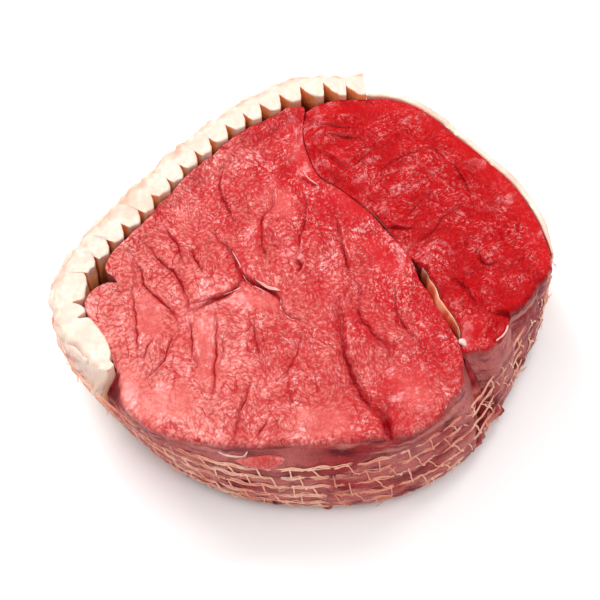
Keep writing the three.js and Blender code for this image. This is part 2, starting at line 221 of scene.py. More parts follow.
def net_swell(turn, z):
    """How far flesh swells out between the threads of the net."""
    LEAST = 0.7
    CUSHION = 1.3
    ABOVE_NET = 0.8
    top = net_top(turn)
    row = (top - z) / (top - NET_FOOT) * (NET_ROWS - 1)
    tie = share_round(turn) * NET_TIES
    between_rows = np.abs(np.sin(math.pi * row)) ** 0.6
    between_ties = np.abs(np.sin(math.pi * tie)) ** 0.5
    cushion = between_rows * (0.45 + 0.55 * between_ties)
    inside = smooth(row, -0.6, 0.1) * (1 - smooth(row, NET_ROWS - 1.0, NET_ROWS - 0.4))
    return inside * (LEAST + CUSHION * cushion) + ABOVE_NET * smooth(row, -1.6, -0.5) * (1 - inside)


def lumps(x, y, size, seed):
    """Gentle unevenness from about -1 to 1, with lumps of one size."""
    TABLE = 64
    START = (31.7, 17.3)
    turns = np.random.default_rng(seed).uniform(0, 2 * math.pi, (TABLE, TABLE))
    u, v = np.asarray(x) / size + START[0], np.asarray(y) / size + START[1]
    i, j = np.floor(u).astype(int), np.floor(v).astype(int)
    f, g = u - i, v - j

    def slope(right, up):
        turn = turns[(i + right) % TABLE, (j + up) % TABLE]
        return np.cos(turn) * (f - right) + np.sin(turn) * (g - up)

    s, t = (w**3 * (w * (w * 6 - 15) + 10) for w in (f, g))
    low = slope(0, 0) + s * (slope(1, 0) - slope(0, 0))
    high = slope(0, 1) + s * (slope(1, 1) - slope(0, 1))
    return 1.5 * (low + t * (high - low))


def lumps_along(run, size, seed):
    """The same unevenness along a line."""
    return lumps(run, 0 * run, size, seed)


def off_line(x, y, line):
    """For each point: its distance from a line, which side it lies on, and where along it."""
    run = run_along(line)
    best = np.full(np.shape(x), 1e9)
    side = np.zeros(np.shape(x))
    along = np.zeros(np.shape(x))
    for k in range(len(line) - 1):
        (ax, ay), (bx, by) = line[k], line[k + 1]
        dx, dy = bx - ax, by - ay
        length = math.hypot(dx, dy)
        t = np.clip(((x - ax) * dx + (y - ay) * dy) / length**2, 0, 1)
        away = np.hypot(x - ax - t * dx, y - ay - t * dy)
        closer = away < best
        best = np.where(closer, away, best)
        cross = (dx * (y - ay) - dy * (x - ax)) / length
        side = np.where(closer, cross, side)
        along = np.where(closer, (run[k] + t * length) / run[-1], along)
    return best, side, along


def fold_relief(x, y, folds):
    """The lift and depth of the folds in a cut face, and how far each point lies off one."""
    FAR = 4.0
    LIP = 2.3
    VALLEY = 0.6
    height = np.zeros(np.shape(x))
    beside = np.full(np.shape(x), FAR)
    parted = np.zeros(np.shape(x))
    for points, width, depth, lip in folds:
        line = curve_through(points, steps=6)
        low, high = line.min(0) - 5 * width - 2, line.max(0) + 5 * width + 2
        near = (x > low[0]) & (x < high[0]) & (y > low[1]) & (y < high[1])
        if not near.any():
            continue
        px, py = x[near], y[near]
        wander = 0.5 * lumps(px, py, 3.6, 5) + 0.8 * lumps(px, py, 9, 6)
        away, side, along = off_line(px + wander, py + 0.6 * wander, line)
        run = np.sin(math.pi * np.clip(along, 0.02, 0.98)) ** 0.5
        strength = run * (0.85 + 0.3 * lumps(px, py, 6.0, 7))
        valley = np.exp(-((away / (0.6 * width)) ** 2))
        slope = np.exp(-away / (3.6 * width))
        upper = np.where(side > 0, 1.0, -0.3) * smooth(away, 0, 0.9 * width)
        height[near] += strength * (LIP * lip * slope * upper - VALLEY * depth * valley)
        half = 0.35 + 0.3 * depth
        signed = np.sign(side) * away / half
        closer = away / half < np.abs(beside[near])
        beside[near] = np.where(closer, signed, beside[near])
        parted[near] = np.where(closer, np.clip(1.15 * strength, 0, 1), parted[near])
    return height, beside, parted


def round_grid(count):
    """A square grid bent into a disc, so that it has no pole: radius share and direction."""
    steps = np.linspace(-1, 1, count + 1)
    a, b = np.meshgrid(steps, steps, indexing="ij")
    wide = np.abs(a) > np.abs(b)
    radius = np.where(wide, a, b)
    with np.errstate(divide="ignore", invalid="ignore"):
        turn = np.where(wide, math.pi / 4 * b / a, math.pi / 2 - math.pi / 4 * a / b)
    turn = np.where(radius == 0, 0, turn)
    turn = np.where(radius < 0, turn + math.pi, turn)
    return np.abs(radius), turn


def to_frame(points):
    """Plan millimetres as metres from the origin."""
    return (np.asarray(points, float) - FOOT_MIDDLE) * MM


def scene_object(name, data):
    """A new object, linked into the scene."""
    made = bpy.data.objects.new(name, data)
    bpy.context.scene.collection.objects.link(made)
    return made


def solid_piece(name, points, quads, corners, masks, finish):
    """A smooth closed mesh object from points in plan millimetres, with its faces outwards."""
    points = to_frame(points)
    a, b, c, d = (points[quads[:, k]] for k in range(4))
    volume = np.einsum("ij,ij->i", a, np.cross(b, c)).sum()
    volume += np.einsum("ij,ij->i", a, np.cross(c, d)).sum()
    step = 1 if volume > 0 else -1
    faces = [face[::step] for face in quads.tolist() + corners]
    mesh = bpy.data.meshes.new(name)
    mesh.from_pydata(points.tolist(), [], faces)
    mesh.polygons.foreach_set("use_smooth", [True] * len(mesh.polygons))
    for label, values in masks.items():
        layer = mesh.attributes.new(label, "FLOAT", "POINT")
        layer.data.foreach_set("value", np.asarray(values, np.float32).ravel())
    mesh.materials.append(finish)
    return scene_object(name, mesh)


def slice_of_muscle(name, outline, centre, face, relief, tones, shows, count, finish):
    """A closed slice: a fine-grained cut face, a rounded edge, a side down to the board, a foot."""
    ROUNDING = (0.5, 2.4)  # where a neighbour covers the side, and where it lies free
    ROUNDING_WALL = (0.0, 0.05, 0.2, 0.55, 0.9)
    WALL_ROWS = 30
    FOOT_SHARES = (0.93, 0.7, 0.35)
    reach = reach_by_turn(outline, centre)
    share, turn = round_grid(count)
    full = reach(turn)
    edge_turn = np.arctan2(centre[1] + np.sin(turn) * full, centre[0] + np.cos(turn) * full)
    free = shows(edge_turn)
    rounding = between(ROUNDING, free)
    edge_run = share_round(edge_turn) * NET_LENGTH
    ragged = 0.8 * lumps_along(edge_run, 7, 23) + 0.4 * lumps_along(edge_run, 2.8, 24)
    inset = full + ragged * (0.15 + 0.85 * free) - rounding
    x = centre[0] + np.cos(turn) * inset * share
    y = centre[1] + np.sin(turn) * inset * share
    lift, beside, parted = relief(x, y)
    surface = face(x, y) + lift
    top = squeeze(x, y, surface).reshape(-1, 3)
    index = np.arange((count + 1) ** 2).reshape(count + 1, count + 1)
    grid = [index[:-1, :-1], index[1:, :-1], index[1:, 1:], index[:-1, 1:]]
    quads = [np.stack(grid, -1).reshape(-1, 4)]
    rim = np.concatenate([index[:-1, 0], index[-1, :-1], index[:0:-1, -1], index[0, :0:-1]])
    rim_x, rim_y, rim_turn, edge, rounded, rim_beside, rim_parted = (
        field.ravel()[rim] for field in (x, y, turn, surface, rounding, beside, parted)
    )
    heights = []
    for k, wall in enumerate(ROUNDING_WALL, 1):
        bend = k / len(ROUNDING_WALL) * math.pi / 2
        heights.append((rounded * math.sin(bend), edge - rounded * (1 - math.cos(bend)), wall))
    for k in range(1, WALL_ROWS + 1):
        heights.append((rounded, (edge - rounded) * (1 - k / WALL_ROWS), 1.0))
    rings = [(top, beside.ravel(), parted.ravel(), 0.0)]
    for out, z, wall in heights:
        px, py = rim_x + np.cos(rim_turn) * out, rim_y + np.sin(rim_turn) * out
        side_turn = np.arctan2(py, px)
        side_run = share_round(side_turn) * NET_LENGTH
        bumps = 0.5 * lumps(side_run, z, 9, 21) + 0.25 * lumps(side_run, z, 3.4, 22)
        falls = smooth(edge - z, 0.5, 6) * smooth(z, 0.5, 4)
        swell = shows(side_turn) * falls * (net_swell(side_turn, z) + bumps)
        rings.append((squeeze(px, py, z, swell), rim_beside, rim_parted * (1 - wall), wall))
    foot = rings[-1][0]
    middle = np.array([foot[:, 0].mean(), foot[:, 1].mean(), 0])
    for left in FOOT_SHARES:
        rings.append((middle + (foot - middle) * left, 0.0, 0.0, 1.0))
    rings.append((middle[None], 0.0, 0.0, 1.0))
    points = np.vstack([ring[0] for ring in rings])
    masks = {}
    for k, label in enumerate(("fold", "parted", "wall"), 1):
        masks[label] = np.concatenate([ring[k] * np.ones(len(ring[0])) for ring in rings])
    starts = len(top) + len(rim) * np.arange(len(rings) - 2)
    loops = [rim, *(starts[:, None] + np.arange(len(rim)))]
    for upper, lower in zip(loops[:-1], loops[1:]):
        quads.append(np.stack([upper, lower, np.roll(lower, -1), np.roll(upper, -1)], -1))
    last = loops[-1]
    tip = len(points) - 1
    corners = [[int(here), tip, int(there)] for here, there in zip(last, np.roll(last, -1))]
    masks.update(tones(*points.T))
    return solid_piece(name, points, np.vstack(quads), corners, masks, finish)


def plug_in(tree, node, inputs):
    """Fills a node's inputs, each with a value or with another node's output."""
    for label, value in inputs.items():
        if isinstance(value, bpy.types.NodeSocket):
            tree.links.new(value, node.inputs[label])
        else:
            node.inputs[label].default_value = value


def add_node(tree, kind, inputs=None, **settings):
    """A new node with its settings and inputs given."""
    made = tree.nodes.new(kind)
    for label, value in settings.items():
        setattr(made, label, value)
    plug_in(tree, made, inputs or {})
    return made


def math_node(tree, operation, first, second=0.0, clamp=False):
    inputs = {0: first, 1: second}
    return add_node(tree, "ShaderNodeMath", inputs, operation=operation, use_clamp=clamp).outputs[0]


def times(tree, first, second, clamp=False):
    return math_node(tree, "MULTIPLY", first, second, clamp)


def rest_of(tree, share):
    return math_node(tree, "SUBTRACT", 1.0, share)


def vector_node(tree, operation, inputs):
    return add_node(tree, "ShaderNodeVectorMath", inputs, operation=operation).outputs[0]


def ranged(tree, value, low, high, out_low=0.0, out_high=1.0):
    """Maps a range of a value smoothly to another."""
    inputs = {"Value": value, "From Min": low, "From Max": high, "To Min": out_low, "To Max": out_high}
    made = add_node(tree, "ShaderNodeMapRange", inputs, interpolation_type="SMOOTHSTEP")
    return made.outputs["Result"]


def mixed(tree, share, under, over):
    """One colour laid over another by a share."""
    inputs = {0: share, 6: under, 7: over}
    return add_node(tree, "ShaderNodeMix", inputs, data_type="RGBA").outputs[2]


def mask_of(tree, label):
    return add_node(tree, "ShaderNodeAttribute", attribute_name=label).outputs["Fac"]


def colour(red, green, blue):
    """A colour given as it looks on a screen, from 0 to 255."""
    shares = [v / 255 for v in (red, green, blue)]
    return (*[s / 12.92 if s <= 0.04045 else ((s + 0.055) / 1.055) ** 2.4 for s in shares], 1)


def node_group(name, kind, inputs, outputs):
    """An empty node group. A socket is given by its default number or by its kind."""
    group = bpy.data.node_groups.new(name, kind)
    for way, sockets in (("INPUT", inputs), ("OUTPUT", outputs)):
        for label, given in sockets.items():
            is_number = isinstance(given, float)
            socket_type = "NodeSocketFloat" if is_number else given
            socket = group.interface.new_socket(label, in_out=way, socket_type=socket_type)
            if is_number:
                socket.default_value = given
    return group, group.nodes.new("NodeGroupInput").outputs, group.nodes.new("NodeGroupOutput").inputs


def new_material(name):
    """A material to build on: itself, its tree and its shader."""
    made = bpy.data.materials.new(name)
    made.use_nodes = True
    return made, made.node_tree, made.node_tree.nodes["Principled BSDF"]


def place_on(tree):
    """The place of a shaded point on its own object."""
    return add_node(tree, "ShaderNodeTexCoord").outputs["Object"]


# The grain of wet cut flesh: crests of short crinkles that run another way in each patch, which
# carry painted glints, troughs between them and long thin creases between bundles of fibres, which
# carry painted shade, and the relief of both.
flesh_grain, given, result = node_group(
    "flesh_grain",
    "ShaderNodeTree",
    {"Vector": "NodeSocketVector", "Turn": 0.0, "Stretch": 1.6, "Spread": 0.4},
    {"Painted Glints": 0.0, "Relief": 0.0, "Mottle": 0.0, "Creases": 0.0, "Troughs": 0.0},
)
g = flesh_grain


def drawn_out(tree, vector, turn, stretch):
    """A place turned and pressed together one way, which draws a pattern out the other way."""
    inputs = {"Vector": vector, "Angle": turn}
    turned = add_node(tree, "ShaderNodeVectorRotate", inputs, rotation_type="Z_AXIS").outputs[0]
    pressed = add_node(tree, "ShaderNodeCombineXYZ", {"X": stretch, "Y": 1.0, "Z": 1.0}).outputs[0]
    return vector_node(tree, "MULTIPLY", {0: turned, 1: pressed})


def bent_by(tree, vector, scale, reach):
    """The same place pushed about by noise, so that a pattern wanders."""
    noise = add_node(tree, "ShaderNodeTexNoise", {"Vector": vector, "Scale": scale, "Detail": 3.0})
    inputs = {0: noise.outputs["Color"], 1: (reach, reach, reach), 2: vector}
    return vector_node(tree, "MULTIPLY_ADD", inputs)


def cloud(tree, vector, scale, detail=2.0):
    """Plain noise with clouds of one size."""
    inputs = {"Vector": vector, "Scale": scale, "Detail": detail}
    return add_node(tree, "ShaderNodeTexNoise", inputs).outputs["Fac"]


def level_lines(tree, height, width):
    """Thin lines where a noise passes its middle height, as the lines of a map do."""
    off = math_node(tree, "ABSOLUTE", math_node(tree, "SUBTRACT", height, 0.5))
    return ranged(tree, off, 0.0, width, 1.0, 0.0)


PEBBLE_SCALE = 470.0
PEBBLE_STRETCH = 1.9
STROKE_STRETCH = 2.4
PATCH_WAYS = (0.0, 1.15, -0.95)  # how far each patch's pebbles are turned from the grain
pebble_place = bent_by(g, given["Vector"], 260.0, 0.0022)
ways = []
for aside in PATCH_WAYS:
    way = math_node(g, "ADD", given["Turn"], aside)
    inputs = {"Vector": drawn_out(g, pebble_place, way, PEBBLE_STRETCH), "Scale": PEBBLE_SCALE}
    ways.append(add_node(g, "ShaderNodeTexVoronoi", inputs, feature="F1").outputs["Distance"])
which_way = cloud(g, given["Vector"], 95.0, 2.0)
pebbled = ways[0]
for other, low, high in ((ways[1], 0.43, 0.47), (ways[2], 0.53, 0.57)):
    step = times(g, math_node(g, "SUBTRACT", other, pebbled), ranged(g, which_way, low, high))
    pebbled = math_node(g, "ADD", pebbled, step)
# Pale painted glints go on the crests of the pebbles and on thin strokes; the troughs between the pebbles get
# painted shade.
crest = ranged(g, pebbled, 0.37, 0.08)
patches = cloud(g, given["Vector"], 110.0, 4.0)
patchy = ranged(g, patches, 0.42, 0.6, given["Spread"], 1.0)
stroke_place = drawn_out(g, pebble_place, given["Turn"], STROKE_STRETCH)
strokes = level_lines(g, cloud(g, stroke_place, 300.0, 1.5), 0.035)
strokes = times(g, strokes, ranged(g, cloud(g, given["Vector"], 380.0), 0.42, 0.58))
crests = math_node(g, "MAXIMUM", times(g, crest, 0.85), strokes)
stretched = drawn_out(g, given["Vector"], given["Turn"], given["Stretch"])
parting = level_lines(g, cloud(g, bent_by(g, stretched, 75.0, 0.016), 62.0, 1.0), 0.02)
creases = times(g, parting, ranged(g, cloud(g, given["Vector"], 90.0), 0.38, 0.5))
high = math_node(g, "ADD", ranged(g, pebbled, 0.75, 0.05), times(g, strokes, 0.5))
# Masks for the painted glints, for painted shade in the troughs and creases, and the relief.
for label, value in {
    "Painted Glints": times(g, crests, patchy),
    "Troughs": ranged(g, pebbled, 0.42, 0.7),
    "Creases": creases,
    "Relief": math_node(g, "SUBTRACT", high, times(g, creases, 0.2)),
    "Mottle": patches,
}.items():
    g.links.new(value, result[label])


def lean_finish(name, red, pale, deep, painted_fold_shade, painted_glint, painted_glint_share, coat_share, turn, spread):
    """Raw lean meat: its grain with painted glints and painted shade, folds painted dark with shade, and a
    side browned and dried by the air.
    """
    SIDE_DARK = colour(104, 20, 30)
    SIDE_RED = colour(156, 42, 46)
    FILM = colour(212, 132, 120)
    SILVERSKIN = colour(194, 112, 108)
    CREASE_STRETCH = 2.6
    CALMED = 0.65
    TROUGH_SHARE = 0.65
    CREASE_SHARE = 0.85
    made, tree, skin = new_material(name)
    place = place_on(tree)
    inputs = {"Vector": place, "Turn": turn, "Stretch": CREASE_STRETCH, "Spread": spread}
    grain = add_node(tree, "ShaderNodeGroup", inputs, node_tree=flesh_grain).outputs
    wall = mask_of(tree, "wall")
    parted = mask_of(tree, "parted")
    blotch = ranged(tree, cloud(tree, place, 45.0, 5.0), 0.3, 0.7, -0.25, 0.25)
    tone = math_node(tree, "ADD", mask_of(tree, "tone"), blotch, clamp=True)
    lively = rest_of(tree, times(tree, mask_of(tree, "calm"), CALMED))
    trough_shade = times(tree, times(tree, grain["Troughs"], lively), TROUGH_SHARE)
    crests = times(tree, grain["Painted Glints"], times(tree, lively, painted_glint_share))
    beside = math_node(tree, "ABSOLUTE", mask_of(tree, "fold"))
    folded = times(tree, ranged(tree, beside, 0.15, 0.85, 1.0, 0.0), parted)
    shaded = times(tree, ranged(tree, beside, 0.2, 3.0, 0.5, 0.0), parted)
    creased = times(tree, times(tree, grain["Creases"], lively), CREASE_SHARE)
    # Red to pale by the tone mask, which on the main muscle is partly a painted sheen of light at the front
    # left.
    face = mixed(tree, tone, red, pale)
    # Laid over it: a random mottle of deeper red, painted shade in the troughs, painted glints on the crests,
    # painted shade beside the folds and in the fine creases, and the darkest painted shade in the fold
    # valleys.
    for share, tint in (
        (ranged(tree, grain["Mottle"], 0.35, 0.7, 0.35, 0.0), deep),
        (trough_shade, deep),
        (crests, painted_glint),
        (shaded, deep),
        (creased, deep),
        (folded, painted_fold_shade),
    ):
        face = mixed(tree, share, face, tint)
    drawn_flat = vector_node(tree, "MULTIPLY", {0: place, 1: (1.0, 1.0, 5.0)})
    streaks = cloud(tree, drawn_flat, 85.0, 6.0)
    films = cloud(tree, drawn_flat, 46.0, 5.0)
    silver = times(tree, mask_of(tree, "silver"), ranged(tree, streaks, 0.3, 0.5, 0.3, 0.8))
    side = mixed(tree, ranged(tree, streaks, 0.36, 0.58), SIDE_DARK, SIDE_RED)
    side = mixed(tree, ranged(tree, films, 0.5, 0.64, 0.0, 0.7), side, FILM)
    side = mixed(tree, silver, side, SILVERSKIN)
    height = times(tree, grain["Relief"], lively)
    bump = add_node(tree, "ShaderNodeBump", {"Height": height, "Strength": 0.9, "Distance": 0.0004})
    # The wet coat stays off the folds, creases and troughs painted dark with shade, and off the dried side,
    # where it would show as a grey veil.
    wet = ranged(tree, grain["Mottle"], 0.36, 0.6, 0.15, 1.0)
    painted_shade = math_node(tree, "MAXIMUM", times(tree, shaded, 1.6, clamp=True), trough_shade)
    for share in (folded, creased):
        painted_shade = math_node(tree, "MAXIMUM", share, painted_shade)
    bare = times(tree, rest_of(tree, painted_shade), rest_of(tree, wall))
    look = {
        "Base Color": mixed(tree, wall, face, side),
        "Roughness": ranged(tree, wet, 0.0, 1.0, 0.5, 0.3),
        "Normal": bump.outputs[0],
        "Coat Weight": times(tree, times(tree, wet, bare), coat_share),
        "Coat Roughness": 0.16,
        "Subsurface Weight": 0.12,
        "Subsurface Radius": (1.0, 0.2, 0.15),
        "Subsurface Scale": 0.0012,
        "Specular IOR Level": 0.08,
    }
    plug_in(tree, skin, look)
    return made


def spots(x, y, places):
    """A mask that is 1 at each of some places and falls off smoothly round it."""
    most = np.zeros(np.shape(x))
    for at_x, at_y, half_x, half_y, turn in places:
        turned = math.radians(turn)
        u = (x - at_x) * math.cos(turned) + (y - at_y) * math.sin(turned)
        v = (y - at_y) * math.cos(turned) - (x - at_x) * math.sin(turned)
        most = np.maximum(most, np.exp(-((u / half_x) ** 4) - (v / half_y) ** 4))
    return most


def side_spots(x, y, z, places):
    """The same on the side, by compass degrees and height."""
    degrees = np.degrees(np.arctan2(y, x))
    most = np.zeros(np.shape(x))
    for at, high, half_turn, half_high in places:
        off = (degrees - at + 180) % 360 - 180
        most = np.maximum(most, np.exp(-((off / half_turn) ** 4) - ((z - high) / half_high) ** 4))
    return most


# Folds in the face: the line, its width, its depth and the height of its upper lip.
MAIN_FOLDS = [
    ([(-35, 13), (-33, 7), (-28, -1), (-24, -11), (-19, -14), (-14, -17), (-9, -22), (-9, -25),
      (-5, -30), (0, -33)], 1.5, 2.6, 0.7),
    ([(-43, -26), (-35, -22), (-27, -17), (-24, -11)], 1.1, 1.3, 0.5),
    ([(-31, 46), (-34, 37), (-33, 28), (-30, 21), (-28, 16)], 1.1, 1.5, 0.6),
    ([(-13, 33), (-13, 24), (-17, 19), (-17, 9), (-16, 2), (-14, -4)], 1.1, 1.5, 0.6),
    ([(0, 31), (0, 19), (-2, 7), (-3, -2)], 1.0, 1.2, 0.5),
    ([(12, 19), (14, 9), (16, -1), (19, -17)], 1.1, 1.3, 0.5),
    ([(13, -22), (14, -36), (15, -45), (18, -55), (19, -60), (25, -69), (29, -75), (30, -82)],
     2.0, 3.6, 0.9),
    ([(22, -13), (21, -29), (25, -37), (30, -42), (32, -50)], 1.3, 1.5, 0.7),
    ([(35, -14), (34, -23), (37, -31), (44, -45)], 1.2, 1.2, 0.6),
    ([(-68, -1), (-64, -8), (-62, -15), (-57, -21), (-54, -24), (-50, -28), (-48, -35)], 1.0, 1.1, 0.5),
    ([(-66, -17), (-65, -26), (-64, -33), (-63, -50)], 0.9, 0.9, 0.4),
    ([(-63, 5), (-57, -3), (-51, -9), (-47, -14), (-46, -20), (-44, -27)], 1.0, 1.2, 0.5),
    ([(-45, 3), (-42, -4), (-40, -10)], 0.9, 0.9, 0.4),
    ([(-57, -40), (-59, -43), (-61, -50)], 1.0, 1.2, 0.4),
    ([(-50, -37), (-53, -49), (-56, -54), (-59, -57)], 0.9, 0.9, 0.4),
    ([(-44, -31), (-43, -42), (-43, -51)], 0.9, 0.8, 0.4),
    ([(-35, -25), (-34, -32), (-34, -42), (-34, -58), (-35, -68)], 1.1, 1.1, 0.5),
    ([(-20, -31), (-19, -37), (-17, -48)], 1.0, 0.9, 0.4),
    ([(-20, -57), (-22, -65), (-25, -75), (-26, -84)], 1.4, 1.5, 0.6),
    ([(-14, -76), (-19, -83)], 1.3, 1.4, 0.5),
    ([(-43, -23), (-38, -22), (-34, -21), (-27, -18)], 0.9, 0.9, 0.4),
    ([(-2, 41), (5, 34)], 0.8, 0.7, 0.5),
    ([(30, -71), (32, -88)], 2.2, 6.0, 0.5),
    ([(-55, 14), (-50, 4), (-47, -4)], 1.0, 0.9, 0.4),
    ([(-1, -36), (-3, -46), (-8, -58)], 1.0, 0.8, 0.4),
    ([(-4.6, -3), (-2.2, -5), (-2.8, -8.5)], 1.3, 3.0, 0.5),
]
MAIN_CALM = [
    (-37, -44, 5, 17, 4), (-20, -22, 13, 4, -8), (-69, -62, 9, 9, 30), (0, 52, 6, 18, 8),
    (-9, 26, 5, 8, 10), (18, 26, 5, 12, 42), (-60, -30, 6, 12, 0), (40, -62, 8, 10, 20),
    (30, 0, 4, 14, 40), (-52, -68, 12, 8, 0), (8, -76, 12, 6, 0),
]
SILVER_PLACES = [
    (-105, 40, 18, 7), (-118, 26, 9, 8), (-92, 22, 8, 9), (-66, 30, 11, 9), (-78, 12, 10, 6),
    (-34, 40, 7, 10), (-46, 38, 6, 12), (-48, 16, 9, 8), (-25, 30, 9, 10), (-133, 30, 8, 9),
    (-140, 12, 9, 6),
]


def main_face(x, y):
    """The height of the main muscle's face: domed, and raised beside the fat."""
    crown = 1.6 * np.exp(-(((x + 22) / 40) ** 2) - ((y + 25) / 42) ** 2)
    belly = 1.4 * np.exp(-(((x - 40) / 16) ** 2) - ((y + 50) / 22) ** 2)
    rise = 3.2 * smooth(-x, 45, 80) * (1 - smooth(-y, 40, 60))
    ridges = 0.5 * np.sin((x + 0.35 * y) / 6.5) * smooth(-x, 20, 60)
    ripple = 0.5 * np.sin(x / 9 + 1.3) * np.sin(y / 11 + 0.4)
    return FACE_HEIGHT + crown + belly + rise + ridges + ripple - 0.6


def flesh_relief(x, y, run, calm, seed):
    """The soft unevenness of bundles of fibres that run one way, flatter where the face is calm."""
    BUNDLE = 8.0
    BUNDLE_LENGTH = 2.4
    along = x * math.cos(run) + y * math.sin(run)
    aside = y * math.cos(run) - x * math.sin(run)
    lively = 1 - 0.75 * calm
    rough = 0.3 + 0.7 * smooth(lumps(x, y, 10, seed + 6), -0.5, 0.5)
    height = 0.9 * lumps(x, y, 14, seed + 7)
    height += 0.95 * lumps(along / BUNDLE_LENGTH, aside, BUNDLE, seed + 8) * lively
    return height + 0.36 * lively * rough * lumps(x, y, 2.3, seed + 9)


def main_relief(x, y):
    """What the knife and the folds leave on the main face, banked up beside the fat."""
    lift, beside, parted = fold_relief(x, y, MAIN_FOLDS)
    away, _, _ = off_line(x, y, fat_side_curve)
    rise = 3.2 - 2.2 * smooth(-x, 45, 80)
    bank = (rise + 1.2 * lumps(x, y, 6, 48)) * np.exp(-((away / 5.5) ** 2)) * smooth(y, -30, -10)
    return lift + bank + flesh_relief(x, y, 1.75, spots(x, y, MAIN_CALM), 40), beside, parted


def main_tones(x, y, z):
    # The tone grows paler towards the front left: partly pinker flesh, partly a painted sheen of the light
    # there.
    tone = np.clip((16 - 0.5 * x - 0.3 * y) / 60, 0, 1)
    silver = side_spots(x, y, z, SILVER_PLACES)
    return {"tone": tone, "calm": spots(x, y, MAIN_CALM), "silver": silver}


def main_shows(turn):
    """1 where the muscle's side lies free under the net, 0 where a neighbour covers it."""
    degrees = np.degrees(turn) % 360
    return smooth(degrees, 214, 219) * (1 - smooth(degrees, 319, 321.5))


SEAM_LENGTH = 160


def seam_side(share, side):
    """One wall of the seam, as an offset from its middle: it gapes on its way to the front."""
    GAPE = 1.2
    OPENS = (0.585, 0.68)
    CLOSES = (0.85, 0.93)
    STRIP = 2.3
    MEETING = 0.15
    WAVES = 0.6
    opened = smooth(share, *OPENS) * (1 - smooth(share, *CLOSES))
    run = np.asarray(share) * SEAM_LENGTH
    if side < 0:
        return MEETING - opened * (GAPE + MEETING + WAVES * lumps_along(run, 8, 66))
    return MEETING + opened * (STRIP + WAVES * lumps_along(run, 6.5, 65))


seam_curve = curve_through(SEAM_LINE)


def seam_points(shares, offsets):
    """Points at shares of the seam's length, each set off to its left by so much."""
    STEP = 0.004
    shares = np.asarray(shares, float)
    ahead = point_at(seam_curve, np.minimum(shares + STEP, 1))
    behind = point_at(seam_curve, np.maximum(shares - STEP, 0))
    return point_at(seam_curve, shares) + left_of(unit(ahead - behind)) * np.asarray(offsets)[:, None]


FLESH_AT_FAT_LINE = [
    (-71.5, -54), (-74.2, -45), (-81.6, -33.2), (-84.5, -24), (-80, -17.6), (-72.5, -15.5),
    (-77, -10.5), (-75.6, -2), (-69, 6), (-60, 20), (-48.6, 35), (-38.2, 47.8), (-27, 58.8),
    (-12, 69.4), (-0.5, 74),
]
fat_side_curve = curve_through(FLESH_AT_FAT_LINE, steps=6)
SEAM_STEPS = 160
steps_along = np.linspace(0, 1, SEAM_STEPS)
main_outline = np.vstack(
    [
        curve_through(FLESH_AT_FAT_LINE)[:-1],
        seam_points(steps_along, seam_side(steps_along, -1)),
        curve_through(FRONT_LINE)[:-1],
    ]
)
lean_red = lean_finish(
    "lean_meat",
    red=colour(198, 32, 38),
    pale=colour(234, 132, 124),
    # The deep red serves the random mottle and the painted shade; then the darker painted shade of the folds
    # and the pale painted glints.
    deep=colour(172, 8, 20),
    painted_fold_shade=colour(138, 0, 12),
    painted_glint=colour(246, 168, 160),
    painted_glint_share=0.85,
    coat_share=0.7,
    turn=-0.2,
    spread=0.45,
)
MAIN_CENTRE = (-30, -16)
MAIN_GRID = 246
main_muscle = slice_of_muscle(
    "main_muscle_flesh",
    main_outline,
    MAIN_CENTRE,
    main_face,
    main_relief,
    main_tones,
    main_shows,
    MAIN_GRID,
    lean_red,
)
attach(main_muscle, "root")
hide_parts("main_muscle")

# ------------------------------------------------------------------------------ The right-hand muscle
# The smaller muscle beside it, of a deeper red and with a coarser grain that runs aslant. It grips
# its neighbour along a seam that opens towards the front, and ends in a smooth plain rim.

RIGHT_FOLDS = [
    ([(55, 55), (53, 53), (44, 50), (34, 44), (30, 39)], 1.1, 1.3, 0.6),
    ([(30, 53), (24, 48), (20, 43)], 1.0, 1.1, 0.6),
    ([(64, 24), (58, 20), (53, 15), (50, 10), (44, 5)], 1.1, 1.4, 0.6),
    ([(50, 30), (46, 25), (41, 18)], 1.0, 1.0, 0.5),
    ([(30, 14), (35, 12), (42, 11)], 1.0, 1.0, 0.5),
    ([(59, 45), (62, 38), (65, 32), (66, 28)], 0.9, 0.8, 0.4),
    ([(66, 1), (70, -6), (75, -5)], 1.0, 1.0, 0.5),
    ([(8, 49), (13, 45), (18, 41)], 2.0, 1.6, 0.5),
    ([(71.5, -28.4), (78.5, -29.6), (87, -32)], 1.8, 4.4, 0.6),
    ([(5, 66), (12, 63), (22, 62)], 1.0, 0.9, 0.5),
    ([(6, 59), (14, 57), (24, 57)], 1.0, 0.9, 0.5),
    ([(56, -12), (62, -18), (66, -27)], 1.1, 1.0, 0.5),
]
RIGHT_CALM = [(10, 72, 16, 3, 5), (30, 74, 18, 3, -3), (14, 46, 5, 4, -45), (62, -38, 6, 8, 0)]
rim_curve = curve_through(RIM_LINE, steps=6)


def right_face(x, y):
    """The height of the right-hand muscle's face, which falls to its rim and to the seam."""
    outward = (x * 0.72 + y * 0.69 - 25) / 45
    fall = 1.6 * smooth(outward, 0.75, 1.25)
    ripple = 0.5 * np.sin(x / 8) * np.sin(y / 7 + 1)
    away, _, _ = off_line(x, y, seam_curve[::8])
    return FACE_HEIGHT + 2.5 - fall + ripple - 2.6 * np.exp(-((away / 6) ** 2))


def right_calm(x, y):
    """1 on the smooth rim of the right-hand muscle and on its plain patches."""
    away, _, _ = off_line(x, y, rim_curve)
    edge = 1 - smooth(away + 1.6 * lumps(x, y, 6, 3), 4.5, 8.5)
    return np.maximum(edge * smooth(x, 20, 40), spots(x, y, RIGHT_CALM))


